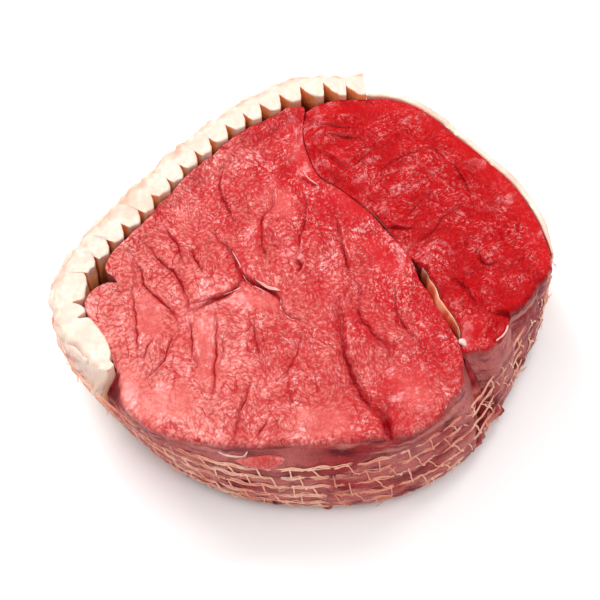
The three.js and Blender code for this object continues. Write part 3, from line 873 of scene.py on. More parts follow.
def right_relief(x, y):
    lift, beside, parted = fold_relief(x, y, RIGHT_FOLDS)
    away, _, _ = off_line(x, y, seam_curve[::4])
    bank = 0.8 * np.exp(-(((away - 4) / 3.5) ** 2))
    return lift + bank + 1.1 * flesh_relief(x, y, 0.6, right_calm(x, y), 70), beside, parted


def right_tones(x, y, z):
    silver = side_spots(x, y, z, SILVER_PLACES)
    return {"tone": 0.12 + 0.1 * lumps(x, y, 18, 9), "calm": right_calm(x, y), "silver": silver}


def right_shows(turn):
    """The same for the right-hand muscle, whose rim is covered by the fat skin."""
    degrees = np.degrees(turn)
    return smooth(degrees, -38.5, -36.5) * (1 - smooth(degrees, -4, 1))


RIGHT_SEAM_END = 0.945  # below this share of the seam the wall falls back under a torn flap
TORN_LINE = [
    (61.2, -46.6), (65.2, -46.2), (70.5, -44.6), (74, -41), (76.6, -36), (78, -32), (78.5, -28.6),
    (81.5, -26.4), (85.5, -22), (90.5, -14.5), (96.3, -7),
]
right_steps = steps_along[steps_along <= RIGHT_SEAM_END]
right_outline = np.vstack(
    [
        seam_points(right_steps, seam_side(right_steps, 1)),
        curve_through(TORN_LINE)[:-1],
        curve_through(RIM_LINE[::-1])[:-1],
    ]
)
lean_deep = lean_finish(
    "deep_red_meat",
    red=colour(188, 4, 10),
    pale=colour(200, 16, 22),
    # The deep red serves the random mottle and the painted shade; then the darker painted shade of the folds
    # and the pale painted glints.
    deep=colour(160, 0, 8),
    painted_fold_shade=colour(122, 0, 6),
    painted_glint=colour(246, 150, 150),
    painted_glint_share=0.62,
    coat_share=0.42,
    turn=0.95,
    spread=0.08,
)
RIGHT_CENTRE = (63, 14)
RIGHT_GRID = 230
right_muscle = slice_of_muscle(
    "right_muscle_flesh",
    right_outline,
    RIGHT_CENTRE,
    right_face,
    right_relief,
    right_tones,
    right_shows,
    RIGHT_GRID,
    lean_deep,
)
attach(right_muscle, "root")
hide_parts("right_muscle")

# ------------------------------------------------------------------------------ The fat in the seam
# Where the seam gapes, a thin strip of soft orange fat and sinew still lines the right-hand muscle.
# It is a natural layer that runs down the whole seam, torn loose along its upper edge.


def band_piece(
    name, outer, inner, top, rows, across, masks_of, finish, outside=None, slant=0.0, nose=0.9
):
    """A closed band on the board between two lines: its section runs up, over the top and down."""
    OUTSIDE, INSIDE = -1.0, 2.0  # what a mask is told in place of a share of the top's width
    UPRIGHT = 0.94
    SHOULDER_WIDTH = 2.4
    SHOULDER_DROP = 0.06
    stations = len(outer)
    loops = []
    masks = {}
    width = np.linalg.norm(outer - inner, axis=1)

    def ring(x, y, z, swell, place):
        points = squeeze(x, y, z, swell)
        loops.append(points)
        for label, values in masks_of(x, y, z, place, top).items():
            masks.setdefault(label, []).append(values * np.ones(stations))

    for k in range(rows):
        z = top * UPRIGHT * k / rows
        swell = 0 if outside is None else outside(*outer.T, z)
        ring(*outer.T, z, swell, np.full(stations, OUTSIDE))
    for k in range(across + 1):
        share = k / across
        spot = outer + (inner - outer) * share
        from_out = width * share
        from_in = width * (1 - share)
        shoulder = np.minimum(width * 0.35, SHOULDER_WIDTH)
        blunt = np.minimum(width * 0.25, nose)
        drop = SHOULDER_DROP * top * (1 - np.sqrt(1 - np.clip(1 - from_out / shoulder, 0, 1) ** 2))
        drop += blunt * (1 - np.sqrt(1 - np.clip(1 - from_in / blunt, 0, 1) ** 2))
        drop += slant * share
        bumps = 0.45 * lumps(*spot.T, 7, 91) + 0.26 * lumps(*spot.T, 2.6, 92)
        ring(*spot.T, top - drop + bumps, 0, np.full(stations, share))
    for k in range(rows):
        z = (top - nose - slant) * (1 - ((k + 1) / rows) ** 1.8)
        ring(*inner.T, z, 0, np.full(stations, INSIDE))
    points = np.stack(loops, 1).reshape(-1, 3)
    size = len(loops)
    index = np.arange(stations * size).reshape(stations, size)
    here, there = index[:-1], index[1:]
    quads = np.stack([here, there, np.roll(there, -1, 1), np.roll(here, -1, 1)], -1).reshape(-1, 4)
    ends = []
    for end, flip in ((index[0], False), (index[-1], True)):
        for i in range(size // 2 - 1):
            face = [end[i], end[size - 1 - i], end[size - 2 - i], end[i + 1]]
            ends.append(face[::-1] if flip else face)
    quads = np.vstack([quads, np.array(ends)[:, ::-1]])
    merged = {label: np.stack(values, 1).ravel() for label, values in masks.items()}
    return solid_piece(name, points, quads, [], merged, finish)


def fatty_finish(name, cream, tinted, painted_depth_shade, painted_shade, roughness):
    """Firm fat: cream where the knife cut it, tinted by blood and shade further down."""
    CRACK_SHARE = 0.12
    made, tree, skin = new_material(name)
    place = place_on(tree)
    wide = cloud(tree, place, 70.0, 5.0)
    close = cloud(tree, place, 420.0, 4.0)
    inputs = {"Vector": place, "Scale": 190.0}
    veins = add_node(tree, "ShaderNodeTexVoronoi", inputs, feature="DISTANCE_TO_EDGE")
    cracks = ranged(tree, veins.outputs["Distance"], 0.0, 0.05, 1.0, 0.0)
    stain = ranged(tree, wide, 0.35, 0.7, -0.25, 0.3)
    torn = math_node(tree, "ADD", mask_of(tree, "tint"), stain, clamp=True)
    shade = ranged(tree, close, 0.3, 0.7, -0.1, 0.1)
    low = math_node(tree, "ADD", mask_of(tree, "deep"), shade, clamp=True)
    face = mixed(tree, torn, cream, tinted)
    # Over fine cracks of tint, the deep mask lays painted shade: first a warmer shade colour, then the
    # darkest.
    for share, tint in (
        (times(tree, cracks, CRACK_SHARE), tinted),
        (ranged(tree, low, 0.02, 0.4), painted_depth_shade),
        (ranged(tree, low, 0.4, 1.0), painted_shade),
    ):
        face = mixed(tree, share, face, tint)
    height = math_node(tree, "ADD", close, times(tree, wide, 0.6))
    bump = add_node(tree, "ShaderNodeBump", {"Height": height, "Strength": 0.3, "Distance": 0.0006})
    look = {
        "Base Color": face,
        "Roughness": ranged(tree, wide, 0.3, 0.7, roughness - 0.08, roughness + 0.12),
        "Normal": bump.outputs[0],
        "Subsurface Weight": 0.35,
        "Subsurface Radius": (1.0, 0.6, 0.35),
        "Subsurface Scale": 0.003,
        "Coat Weight": 0.15,
        "Coat Roughness": 0.25,
    }
    plug_in(tree, skin, look)
    return made


SEAM_FAT_FROM = 0.655
SEAM_FAT_TO = 0.9
SEAM_FAT_THICK = 2.9
SEAM_FAT_TOP = 51.0
SEAM_FAT_STATIONS = 420
seam_shares = np.linspace(SEAM_FAT_FROM, SEAM_FAT_TO, SEAM_FAT_STATIONS)
seam_wall = seam_side(seam_shares, 1) - NEIGHBOUR_GAP
seam_run = seam_shares * SEAM_LENGTH
thinner = 0.3 * lumps_along(seam_run, 4.4, 61) + 0.5 * lumps_along(seam_run, 9, 62)
seam_thick = SEAM_FAT_THICK * (1 + thinner) * smooth(seam_shares, SEAM_FAT_FROM, SEAM_FAT_FROM + 0.11)
seam_thick *= 1 - 0.85 * smooth(seam_shares, SEAM_FAT_TO - 0.15, SEAM_FAT_TO)
seam_thick = np.maximum(seam_thick, 0.3)


def seam_fat_masks(x, y, z, place, top):
    tint = np.clip(1.4 * place - 0.1 + 0.6 * lumps(x, y, 2.6, 63), 0, 1)
    # The deep mask paints shade lower down the strip's sides.
    return {"tint": tint, "deep": np.clip((top - 6 - z) / 16, 0, 1)}


seam_fat_finish = fatty_finish(
    "seam_fat",
    cream=colour(252, 196, 160),
    tinted=colour(240, 88, 56),
    # Painted shade lower down the strip, warm and then dark.
    painted_depth_shade=colour(204, 60, 48),
    painted_shade=colour(130, 20, 20),
    roughness=0.42,
)
seam_fat = band_piece(
    "seam_fat_strip",
    seam_points(seam_shares, seam_wall),
    seam_points(seam_shares, seam_wall - seam_thick),
    SEAM_FAT_TOP + 0.5 * lumps_along(seam_run, 5, 64),
    rows=14,
    across=10,
    masks_of=seam_fat_masks,
    finish=seam_fat_finish,
    slant=7.0,
)
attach(seam_fat, "root")
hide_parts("seam_fat")

# ------------------------------------------------------------------------------ The scored fat
# A slab of firm back fat that wraps the back and left of the joint. The butcher scored it with short
# strokes of the knife, all in one direction, and it drew apart into a row of round-cornered teeth
# with narrow tips between them. Its near end is left whole, and its outer side is torn and lumpy.

NOTCH_TIP_LINE = [
    (25, 83.2), (16, 83.4), (7, 84.2), (-2, 82.3), (-17.5, 74.2), (-31.2, 63.1), (-43.4, 50.4),
    (-54.7, 35.8), (-65, 20.8), (-77.2, 6.4), (-82.7, -1.7), (-85.2, -11), (-86, -16),
]
WHOLE_END_LINE = [
    (-84.9, -23.5), (-88.6, -25.5), (-85.4, -26.6), (-83.8, -29.6), (-86.4, -32.4), (-82.2, -32.6),
    (-77.6, -38.3), (-74.6, -43.3), (-73.2, -48.3), (-73.2, -51.8), (-71.6, -54.0), (-74.2, -56.4),
]
FAT_HEIGHT = 53.5
NOTCHES = 17
NOTCH_PITCH = 9.1
FIRST_NOTCH = 8.8
SCORE_DEPTH = (6.2, 9.2)  # at the right-hand end, and from the fourth notch on
TOOTH_BELLY = (0.3, 2.6)  # how far a tooth's side stands past its notch's tip, at each end
fat_outer = curve_through(FAT_OUTER_LINE)
notch_tips = curve_through(NOTCH_TIP_LINE)
tips_run = run_along(notch_tips)[-1]


def notch_tip(number):
    """The tip of a score; the one before the first is the slab's square end."""
    run = FIRST_NOTCH + NOTCH_PITCH * (number - 1 + 0.07 * uneven(number, 11))
    tip = point_at(notch_tips, max(run, 0) / tips_run)
    return tip + [0, 0.5 * uneven(number, 12)]


def evened(values, half):
    """A running mean over so many values either way."""
    window = 2 * half + 1
    return np.convolve(np.pad(values, half, mode="edge"), np.ones(window) / window, "valid")


edge_points = []
tooth_of_point = []
for number in range(NOTCHES + 1):
    tip = notch_tip(number)
    slab_turn = smooth(number, 1, 10)
    reach = between(SCORE_DEPTH, smooth(number, 0, 4)) * (1 + 0.1 * uneven(number, 13))
    belly = between(TOOTH_BELLY, slab_turn) * (1 + 0.3 * uneven(number, 14))
    wall = [] if number == 0 else [(0, 0), (0.35 * belly, -0.3 * reach)]
    wall += [(0.6 * belly, -0.58 * reach), (0.5 * belly, -0.76 * reach)]
    edge_points += [tip + step for step in wall]
    if number < NOTCHES:
        over = notch_tip(number + 1) - tip
        for share, fall in ((0.14, 0.8), (0.43, 0.68), (0.72, 0.36), (0.9, 0.12)):
            edge_points.append(tip + share * over + [0, -fall * reach])
    tooth_of_point += [number] * (len(edge_points) - len(tooth_of_point))
edge_points += [np.array(spot) for spot in WHOLE_END_LINE]
tooth_of_point += [NOTCHES + 1] * len(WHOLE_END_LINE)
EDGE_STEPS = 8
inner_spots = curve_through(edge_points, steps=EDGE_STEPS)
tooth_numbers = np.repeat(tooth_of_point, EDGE_STEPS)[: len(inner_spots)]
inner_run = run_along(inner_spots)
frayed = 0.16 * lumps_along(inner_run, 1.6, 81) + 0.12 * lumps_along(inner_run, 4, 80)
sideways = left_of(unit(np.gradient(inner_spots, axis=0)))
inner_spots = inner_spots + sideways * frayed[:, None]
_, _, out_shares = off_line(*inner_spots.T, fat_outer)
out_shares = evened(np.maximum.accumulate(out_shares), 12)
out_shares = 0.88 * out_shares + 0.12 * np.linspace(0, 1, len(out_shares))
out_shares = (out_shares - out_shares[0]) / (out_shares[-1] - out_shares[0])
outer_spots = point_at(fat_outer, out_shares)
outward = unit(outer_spots - inner_spots)
fat_run = out_shares * run_along(fat_outer)[-1]
ragged = 1.7 * lumps_along(fat_run, 10, 82) + 1.1 * lumps_along(fat_run, 3.6, 83)
outer_spots = outer_spots - outward * (0.9 - ragged)[:, None]
fat_tops = FAT_HEIGHT + 0.3 * uneven(tooth_numbers, 2) * (tooth_numbers <= NOTCHES)
fat_tops = evened(fat_tops, 16) + 0.5 * lumps_along(fat_run, 16, 84)
tooth_end_line = curve_through([notch_tip(n) + [0, -8.0] for n in range(0, NOTCHES + 1, 2)], steps=6)


def fat_masks(x, y, z, place, top):
    below = np.maximum(top - z, 0)
    inside = place == 2
    outside = place == -1
    edge = smooth(1 - np.clip(place, 0, 1), 0.55, 0.95) * (0.9 + 1.1 * lumps(x, y, 5, 85))
    edge = np.clip(edge, 0, 1) * (np.abs(place - 0.5) <= 0.5) * (1 - 0.8 * smooth(-y, 20, 32))
    # The deep mask puts painted shade on the teeth: on the inner walls, the more the lower down and most in
    # the notches; a little on the teeth's tops at their inner rims; and less at the slab's whole end.
    off_ends, side, _ = off_line(x, y, tooth_end_line)
    notch = smooth(off_ends, 0.5, 4) * (side < 0) * (x > -88)
    low_end = smooth(-y, 28, 34)
    rim = smooth(place, 0.93, 1.0) * (place <= 1) * notch
    low = notch * (0.3 + 0.05 * below) + (1 - notch) * 0.05 * below
    low = np.clip(low, 0, 1) * (1 - 0.75 * low_end)
    stained = 0.45 - 0.35 * low_end + 0.4 * lumps(x * 2, z, 9, 86)
    tint = np.where(outside, stained, np.where(inside, 0.3, edge))
    return {"tint": tint, "deep": np.where(inside, low, 0.2 * rim)}


def fat_outside(x, y, z):
    """How far the fat's outer side swells out between the threads, and its roughness."""
    turn = np.arctan2(y, x)
    z = z + 0 * x
    run = share_round(turn) * NET_LENGTH
    rough = 0.7 * lumps(run, z, 8, 87) + 0.3 * lumps(run, z, 3, 88)
    return smooth(z, 0.5, 4) * (1 - smooth(z, 44, 50)) * (0.8 * net_swell(turn, z) + rough)


fat_finish = fatty_finish(
    "fat",
    cream=colour(232, 206, 190),
    tinted=colour(220, 160, 136),
    # Painted shade on the notch walls: a warm orange that also paints the glow of light through the fat, and
    # a dark brown deepest down.
    painted_depth_shade=colour(248, 160, 96),
    painted_shade=colour(190, 78, 44),
    roughness=0.5,
)
scored_fat = band_piece(
    "scored_fat_slab",
    outer_spots,
    inner_spots,
    fat_tops,
    rows=16,
    across=24,
    masks_of=fat_masks,
    finish=fat_finish,
    outside=fat_outside,
    nose=0.4,
)
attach(scored_fat, "root")
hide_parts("scored_fat")

# ------------------------------------------------------------------------------ The fat skin
# A thin skin of pale fat and membrane on the right-hand muscle's rim: a narrow pink line from
# above, and a smooth pale wall from the side, where the net presses into it.

SKIN_INNER_LINE = [
    (25.5, 80.6), (37.6, 79.2), (52.5, 69.9), (67.7, 52.9), (80.5, 38.5), (89.6, 22.9), (95.1, 6.1),
    (96.2, 0),
]
SKIN_STATIONS = 900
skin_shares = np.linspace(0, 1, SKIN_STATIONS)
skin_outer = point_at(curve_through(SKIN_OUTER_LINE), skin_shares)
skin_inner = point_at(curve_through(SKIN_INNER_LINE), skin_shares)
skin_outer += (skin_inner - skin_outer) * 0.7 * smooth(skin_shares, 0.86, 1)[:, None]
SKIN_LENGTH = 130
SKIN_STANDS = 0.15  # above the flesh beside it
skin_waves = 0.4 * lumps_along(skin_shares * SKIN_LENGTH, 8, 95)
skin_tops = right_face(*skin_inner.T) + SKIN_STANDS + skin_waves


def skin_masks(x, y, z, place, top):
    turn = np.arctan2(y, x)
    bloody = 0.35 + 0.4 * lumps(share_round(turn) * NET_LENGTH, z + 0 * x, 11, 96)
    bloody = bloody + smooth(-turn, -0.3, 0)
    return {
        "tint": np.where(place == -1, np.clip(bloody, 0, 1), 0.25),
        # Painted shade lower down the skin's inner wall.
        "deep": np.where(place == 2, np.clip((top - z) / 12, 0, 1), 0.0),
    }


skin_finish = fatty_finish(
    "fat_skin",
    cream=colour(252, 214, 198),
    tinted=colour(226, 150, 130),
    # Painted shade lower down the inner wall, warm and then dark.
    painted_depth_shade=colour(236, 150, 110),
    painted_shade=colour(150, 50, 44),
    roughness=0.42,
)
fat_skin = band_piece(
    "fat_skin_band",
    skin_outer,
    skin_inner,
    skin_tops,
    rows=34,
    across=6,
    masks_of=skin_masks,
    finish=skin_finish,
    outside=fat_outside,
)
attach(fat_skin, "root")
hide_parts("fat_skin")

# ------------------------------------------------------------------------------ The net
# A knitted tube of elastic butcher's net. Each row is four fine covered threads that run side by
# side, and short loose ties join the rows. It is pulled over the joint, grips it and cuts in.


def lines_object(name, lines):
    """A mesh of bare edges, one run of edges for each line of points in plan millimetres."""
    points, edges = [], []
    for line, closed in lines:
        first = len(points)
        points += to_frame(line).tolist()
        edges += [(first + k, first + k + 1) for k in range(len(line) - 1)]
        if closed:
            edges.append((len(points) - 1, first))
    mesh = bpy.data.meshes.new(name)
    mesh.from_pydata(points, edges, [])
    return scene_object(name, mesh)


def grown(source, name, tree, values):
    """Runs a geometry tree on an object and leaves the result as a plain mesh object."""
    grower = source.modifiers.new("grow", "NODES")
    grower.node_group = tree
    for item in tree.interface.items_tree:
        if item.in_out == "INPUT" and item.name in values:
            grower[item.identifier] = values[item.name]
    source.update_tag()
    ready = source.evaluated_get(bpy.context.evaluated_depsgraph_get())
    mesh = bpy.data.meshes.new_from_object(ready)
    mesh.name = name
    source.modifiers.remove(grower)
    bpy.data.objects.remove(source)
    return scene_object(name, mesh)


def leave(tree, geometry, finish, result):
    """Ends a geometry tree: what it made, as real geometry with its material set."""
    whole = add_node(tree, "GeometryNodeRealizeInstances", {"Geometry": geometry}).outputs[0]
    inputs = {"Geometry": whole, "Material": finish}
    tree.links.new(add_node(tree, "GeometryNodeSetMaterial", inputs).outputs[0], result["Geometry"])


STRAND_PLACES = (-1.5, -0.5, 0.5, 1.5)  # up and down from a row's middle, in spacings
NOISE_APART = 0.05  # so that each strand strays its own way
THREAD_SIDES = 5
thread_tree, given, result = node_group(
    "threads_side_by_side",
    "GeometryNodeTree",
    {
        "Geometry": "NodeSocketGeometry",
        "Thread Radius": 0.0003,
        "Thread Spacing": 0.0008,
        "Wander": 0.0005,
        "Wander Scale": 260.0,
        "Finish": "NodeSocketMaterial",
    },
    {"Geometry": "NodeSocketGeometry"},
)
t = thread_tree
bundle_of_threads = add_node(t, "GeometryNodeJoinGeometry")
for strand in STRAND_PLACES:
    at = add_node(t, "GeometryNodeInputPosition").outputs[0]
    shifted = vector_node(t, "ADD", {0: at, 1: (0.0, 0.0, NOISE_APART * strand)})
    inputs = {"Vector": shifted, "Scale": given["Wander Scale"], "Detail": 1.0}
    stray = add_node(t, "ShaderNodeTexNoise", inputs).outputs["Color"]
    centred = vector_node(t, "ADD", {0: stray, 1: (-0.5, -0.5, -0.5)})
    strayed = vector_node(t, "SCALE", {0: centred, "Scale": given["Wander"]})
    lift = times(t, given["Thread Spacing"], strand)
    raised = add_node(t, "ShaderNodeCombineXYZ", {"Z": lift}).outputs[0]
    inputs = {"Geometry": given["Geometry"], "Offset": vector_node(t, "ADD", {0: strayed, 1: raised})}
    moved = add_node(t, "GeometryNodeSetPosition", inputs).outputs[0]
    t.links.new(moved, bundle_of_threads.inputs[0])
as_curve = add_node(t, "GeometryNodeMeshToCurve", {"Mesh": bundle_of_threads.outputs[0]}).outputs[0]
inputs = {"Resolution": THREAD_SIDES, "Radius": given["Thread Radius"]}
round_section = add_node(t, "GeometryNodeCurvePrimitiveCircle", inputs).outputs[0]
inputs = {"Curve": as_curve, "Profile Curve": round_section, "Fill Caps": True}
leave(t, add_node(t, "GeometryNodeCurveToMesh", inputs).outputs[0], given["Finish"], result)

net_thread, tree, yarn = new_material("net_thread")
place = place_on(tree)
soaked = cloud(tree, place, 60.0, 5.0)
fibre = cloud(tree, place, 1800.0, 2.0)
stained = ranged(tree, soaked, 0.36, 0.64)
yarn_colour = mixed(tree, stained, colour(252, 198, 170), colour(232, 142, 118))
yarn_colour = mixed(tree, ranged(tree, fibre, 0.45, 0.7, 0.0, 0.4), yarn_colour, colour(246, 216, 196))
bump = add_node(tree, "ShaderNodeBump", {"Height": fibre, "Strength": 0.5, "Distance": 0.0002})
look = {
    "Base Color": yarn_colour,
    "Roughness": ranged(tree, soaked, 0.3, 0.7, 0.5, 0.8),
    "Normal": bump.outputs[0],
}
plug_in(tree, yarn, look)

ROW_POINTS = 640
ROW_OUT = 0.25
TIE_POINTS = 9
TIE_STRAY = 0.14  # as the two below, in spacings of the ties
TIE_SLANT = -0.28
SLANT_STRAY = 0.24
TIE_OUT = 0.35
TIE_ARCH = 0.7
row_shares = np.arange(ROW_POINTS) / ROW_POINTS
closed_net = np.vstack([net_curve, net_curve[:1]])


def on_net(shares, row, out=0.0):
    """Points of the net: how far round, which row, and how far off the flesh."""
    SAGS = 0.08
    PULLED = 0.1
    spot = point_at(closed_net, np.mod(shares, 1))
    turn = np.arctan2(spot[:, 1], spot[:, 0])
    pulled = np.cos(2 * math.pi * np.mod(shares, 1) * NET_TIES + math.pi * np.floor(row + 0.5))
    row = row + SAGS * lumps(np.mod(shares, 1) * NET_LENGTH, row * 40, 18, 101) - PULLED * pulled
    z = row_height(row, turn)
    scale = held_scale(turn, z) + out / net_reach(turn)
    return np.column_stack([spot * scale[:, None], z])


row_lines = [(on_net(row_shares, float(row), ROW_OUT), True) for row in range(NET_ROWS)]
net_rows = grown(
    lines_object("row_lines", row_lines),
    "net_rows",
    thread_tree,
    {
        "Thread Radius": 0.00019,
        "Thread Spacing": 0.00058,
        "Wander": 0.0012,
        "Wander Scale": 230.0,
        "Finish": net_thread,
    },
)
tie_lines = []
for row in range(NET_ROWS - 1):
    for tie in range(NET_TIES):
        number = tie + 60 * row
        middle = (tie + 0.5 * (row % 2) + TIE_STRAY * uneven(number, 4)) / NET_TIES
        slant = (SLANT_STRAY * uneven(number, 5) + TIE_SLANT) / NET_TIES
        down = np.linspace(-0.03, 1.03, TIE_POINTS)
        spots_down = []
        for share_down in down:
            out = TIE_OUT + TIE_ARCH * math.sin(math.pi * min(1, max(0, share_down)))
            at = np.array([middle + slant * (share_down - 0.5)])
            spots_down.append(on_net(at, row + share_down, out)[0])
        tie_lines.append((np.array(spots_down), False))
net_ties = grown(
    lines_object("tie_lines", tie_lines),
    "net_ties",
    thread_tree,
    {
        "Thread Radius": 0.00017,
        "Thread Spacing": 0.0,
        "Wander": 0.0011,
        "Wander Scale": 210.0,
        "Finish": net_thread,
    },
)
# A knot sits where a tie meets a row, and fine broken fibres stand off the threads.
knot_tree, given, result = node_group(
    "knots_at_points",
    "GeometryNodeTree",
    {
        "Geometry": "NodeSocketGeometry",
        "Knot Radius": 0.0006,
        "Smallest": 0.5,
        "Largest": 1.3,
        "Finish": "NodeSocketMaterial",
    },
    {"Geometry": "NodeSocketGeometry"},
)
k = knot_tree
inputs = {"Radius": given["Knot Radius"], "Subdivisions": 2}
ball = add_node(k, "GeometryNodeMeshIcoSphere", inputs).outputs[0]
inputs = {"Seed": 5, 2: given["Smallest"], 3: given["Largest"]}
sizes = add_node(k, "FunctionNodeRandomValue", inputs, data_type="FLOAT").outputs[1]
inputs = {"Points": given["Geometry"], "Instance": ball, "Scale": sizes}
leave(k, add_node(k, "GeometryNodeInstanceOnPoints", inputs).outputs[0], given["Finish"], result)
knot_spots = [line[end] for line, _ in tie_lines for end in (0, -1)]
net_knots = grown(
    lines_object("knot_spots", [(np.array(knot_spots), False)]),
    "net_knots",
    knot_tree,
    {"Knot Radius": 0.00055, "Smallest": 0.5, "Largest": 1.3, "Finish": net_thread},
)

FIBRES = 110
FIBRE_REACH = (1.4, 1.2)  # how far one stands off, and by how much that varies
FIBRE_RUN = 0.006
fibre_lines = []
for number in range(FIBRES):
    start = (number + 0.4 * uneven(number, 31)) / FIBRES
    row = (NET_ROWS - 1) * (0.5 + 0.5 * uneven(number, 32))
    reach_out = FIBRE_REACH[0] + FIBRE_REACH[1] * uneven(number, 33)
    steps_out = np.linspace(0, 1, 5)
    shares = start + (FIBRE_RUN * steps_out**1.5) * np.sign(uneven(number, 34))
    points = []
    for at, out in zip(shares, steps_out):
        points.append(on_net(np.array([at]), row + 0.3 * out * uneven(number, 35), 0.2 + reach_out * out))
    fibre_lines.append((np.vstack(points), False))
net_fibres = grown(
    lines_object("fibre_lines", fibre_lines),
    "net_fibres",
    thread_tree,
    {
        "Thread Radius": 0.00007,
        "Thread Spacing": 0.0005,
        "Wander": 0.003,
        "Wander Scale": 260.0,
        "Finish": net_thread,
    },
)
for part in (net_rows, net_ties, net_knots, net_fibres):
    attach(part, "root")
    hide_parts("net")

# ------------------------------------------------------------------------------ The sinews
# Short strands of white sinew and one torn flap of pale membrane, left in the deepest fold of the
# face and at the ends of the seam. They are soft natural tissue that the knife did not part.


def rolled(line, half_widths, half_heights, lean=(0, 0, 1), ragged=0.35, seed=110):
    """A closed rounded strip along a line, with its half width and half height given along it."""
    AROUND = 12
    line = curve_through(line, steps=6)
    run = run_along(line)
    share = run / run[-1]
    taper = np.sqrt(np.clip(1 - np.abs(2 * share - 1) ** 5, 0.003, 1))
    frayed = 1 + ragged * lumps_along(run, 1.7, seed)
    wide = np.interp(share, np.linspace(0, 1, len(half_widths)), half_widths) * taper * frayed
    high = np.interp(share, np.linspace(0, 1, len(half_heights)), half_heights) * taper
    ahead = unit(np.gradient(line, axis=0))
    across = unit(np.cross(ahead, lean))
    up = np.cross(across, ahead)
    points = []
    for turn in np.linspace(0, 2 * math.pi, AROUND, endpoint=False):
        sideways, upwards = wide * math.cos(turn), high * math.sin(turn)
        points.append(line + across * sideways[:, None] + up * upwards[:, None])
    return np.stack(points, 1)


def strips_piece(name, strips, masks, finish):
    """One object of several rolled strips."""
    points, quads, corners = [], [], []
    total = 0
    for strip in strips:
        stations, around = strip.shape[:2]
        index = total + np.arange(stations * around).reshape(stations, around)
        here, there = index[:-1], index[1:]
        side = np.stack([here, np.roll(here, -1, 1), np.roll(there, -1, 1), there], -1)
        quads.append(side.reshape(-1, 4))
        corners.append(index[0][::-1].tolist())
        corners.append(index[-1].tolist())
        points.append(strip.reshape(-1, 3))
        total += stations * around
    points = np.vstack(points)
    values = {label: np.full(len(points), value) for label, value in masks.items()}
    return solid_piece(name, points, np.vstack(quads), corners, values, finish)


def laid_on_face(points, lift, face=main_face, relief=main_relief):
    """Plan points brought onto a muscle's face, as a rule the main one's."""
    x, y = np.array(points, float).T
    return np.column_stack([x, y, face(x, y) + relief(x, y)[0] + lift])


STRANDS = [
    ([(-28.6, 2.2), (-25.3, -6), (-22.5, -12.2), (-16.6, -16.9), (-14.3, -18.8)], 0.2),
    ([(-10.5, -16.9), (-9.3, -21.7), (-9.3, -25.4), (-6.5, -29.3), (-2, -32)], 0.2),
    ([(-0.8, 43), (1.2, 38.9), (2.8, 36.9), (5.2, 34.9)], 0.17),
    ([(-31.5, -19.6), (-27.4, -17.4), (-24.8, -16)], 0.22),
]
strands = [rolled(laid_on_face(line, 0.0), [size], [0.8 * size]) for line, size in STRANDS]
FLAP_RIM = [(75.2, -29.4), (77, -33), (76.2, -36.6), (73, -40.6), (68.2, -43.2), (63.4, -44.2)]
flap_rim = laid_on_face(FLAP_RIM, -0.7, right_face, right_relief)
strands.append(rolled(flap_rim, [0.35, 0.5, 0.3, 0.45, 0.25], [0.35]))
seam_nub = rolled([(58.2, -40.6, 50.2), (59.8, -42, 50.6), (61, -43.6, 49.8)], [1.1, 1.5, 0.8], [0.9])
strands.append(seam_nub)
flap_edge = [
    (-33, -85.6, 43.8), (-29, -87, 43), (-25.5, -87.2, 42.2), (-22.8, -87.4, 42.4), (-21.4, -86.6, 45),
]
strands.append(rolled(flap_edge, [0.5, 0.7, 0.4, 0.7, 0.4], [0.4], lean=(0, -1, 0)))
sinew_finish = fatty_finish(
    "sinew",
    cream=colour(244, 200, 190),
    tinted=colour(232, 142, 136),
    painted_depth_shade=colour(226, 120, 108),
    painted_shade=colour(150, 40, 36),
    roughness=0.35,
)
sinew_strands = strips_piece("sinew_strands", strands, {"tint": 0.3, "deep": 0.0}, sinew_finish)
membrane_line = laid_on_face([(-19.5, -13), (-15.9, -14.8), (-12.4, -16.6), (-9.4, -18.4)], 0.3)
membrane = rolled(membrane_line, [0.25, 0.8, 1.25, 0.9, 0.2], [0.2])
membrane_flap = strips_piece("membrane_flap", [membrane], {"tint": 1.0, "deep": 0.12}, sinew_finish)
for part in (sinew_strands, membrane_flap):
    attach(part, "root")

# ------------------------------------------------------------------------------ The shreds of fat
# Where the butcher pulled the rind off, soft shreds of fat and membrane stand up along the slab's
# outer edge. They hang on the slab and dry to a pinkish tan.

SHREDS = 20
SHRED_TOP = 50.0
SHRED_SPAN = 0.055  # a share of the slab's length
SHRED_SIZE = 2.0
OFF_EDGE = 0.983
LAST_SHARE = 0.97
shreds = []
for number in range(SHREDS):
    start = (number + 0.35 * uneven(number, 51)) / SHREDS
    span = SHRED_SPAN + 0.02 * uneven(number, 52)
    spots_on = point_at(fat_outer, np.clip(start + np.array([0, 0.5, 1.0]) * span, 0, LAST_SHARE))
    off_edge = OFF_EDGE - 0.004 * uneven(number, 53)
    height = SHRED_TOP + 0.5 * uneven(number, 54)
    line = np.column_stack([spots_on * off_edge, height + np.array([-1.0, 0.3, -1.0])])
    size = SHRED_SIZE + 0.5 * uneven(number, 55)
    shreds.append(rolled(line, [0.4 * size, size, 0.5 * size], [0.9 * size], seed=200 + number))
fat_shreds = strips_piece("fat_shreds", shreds, {"tint": 0.25, "deep": 0.0}, fat_finish)
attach(fat_shreds, "root")

# ------------------------------------------------------------------------------ The scraps
# Ends of lean meat that escaped the knife: a finger and lobes that hang out under the net at the
# right, a torn flap over the net at the front, and small lumps pressed out at the board.

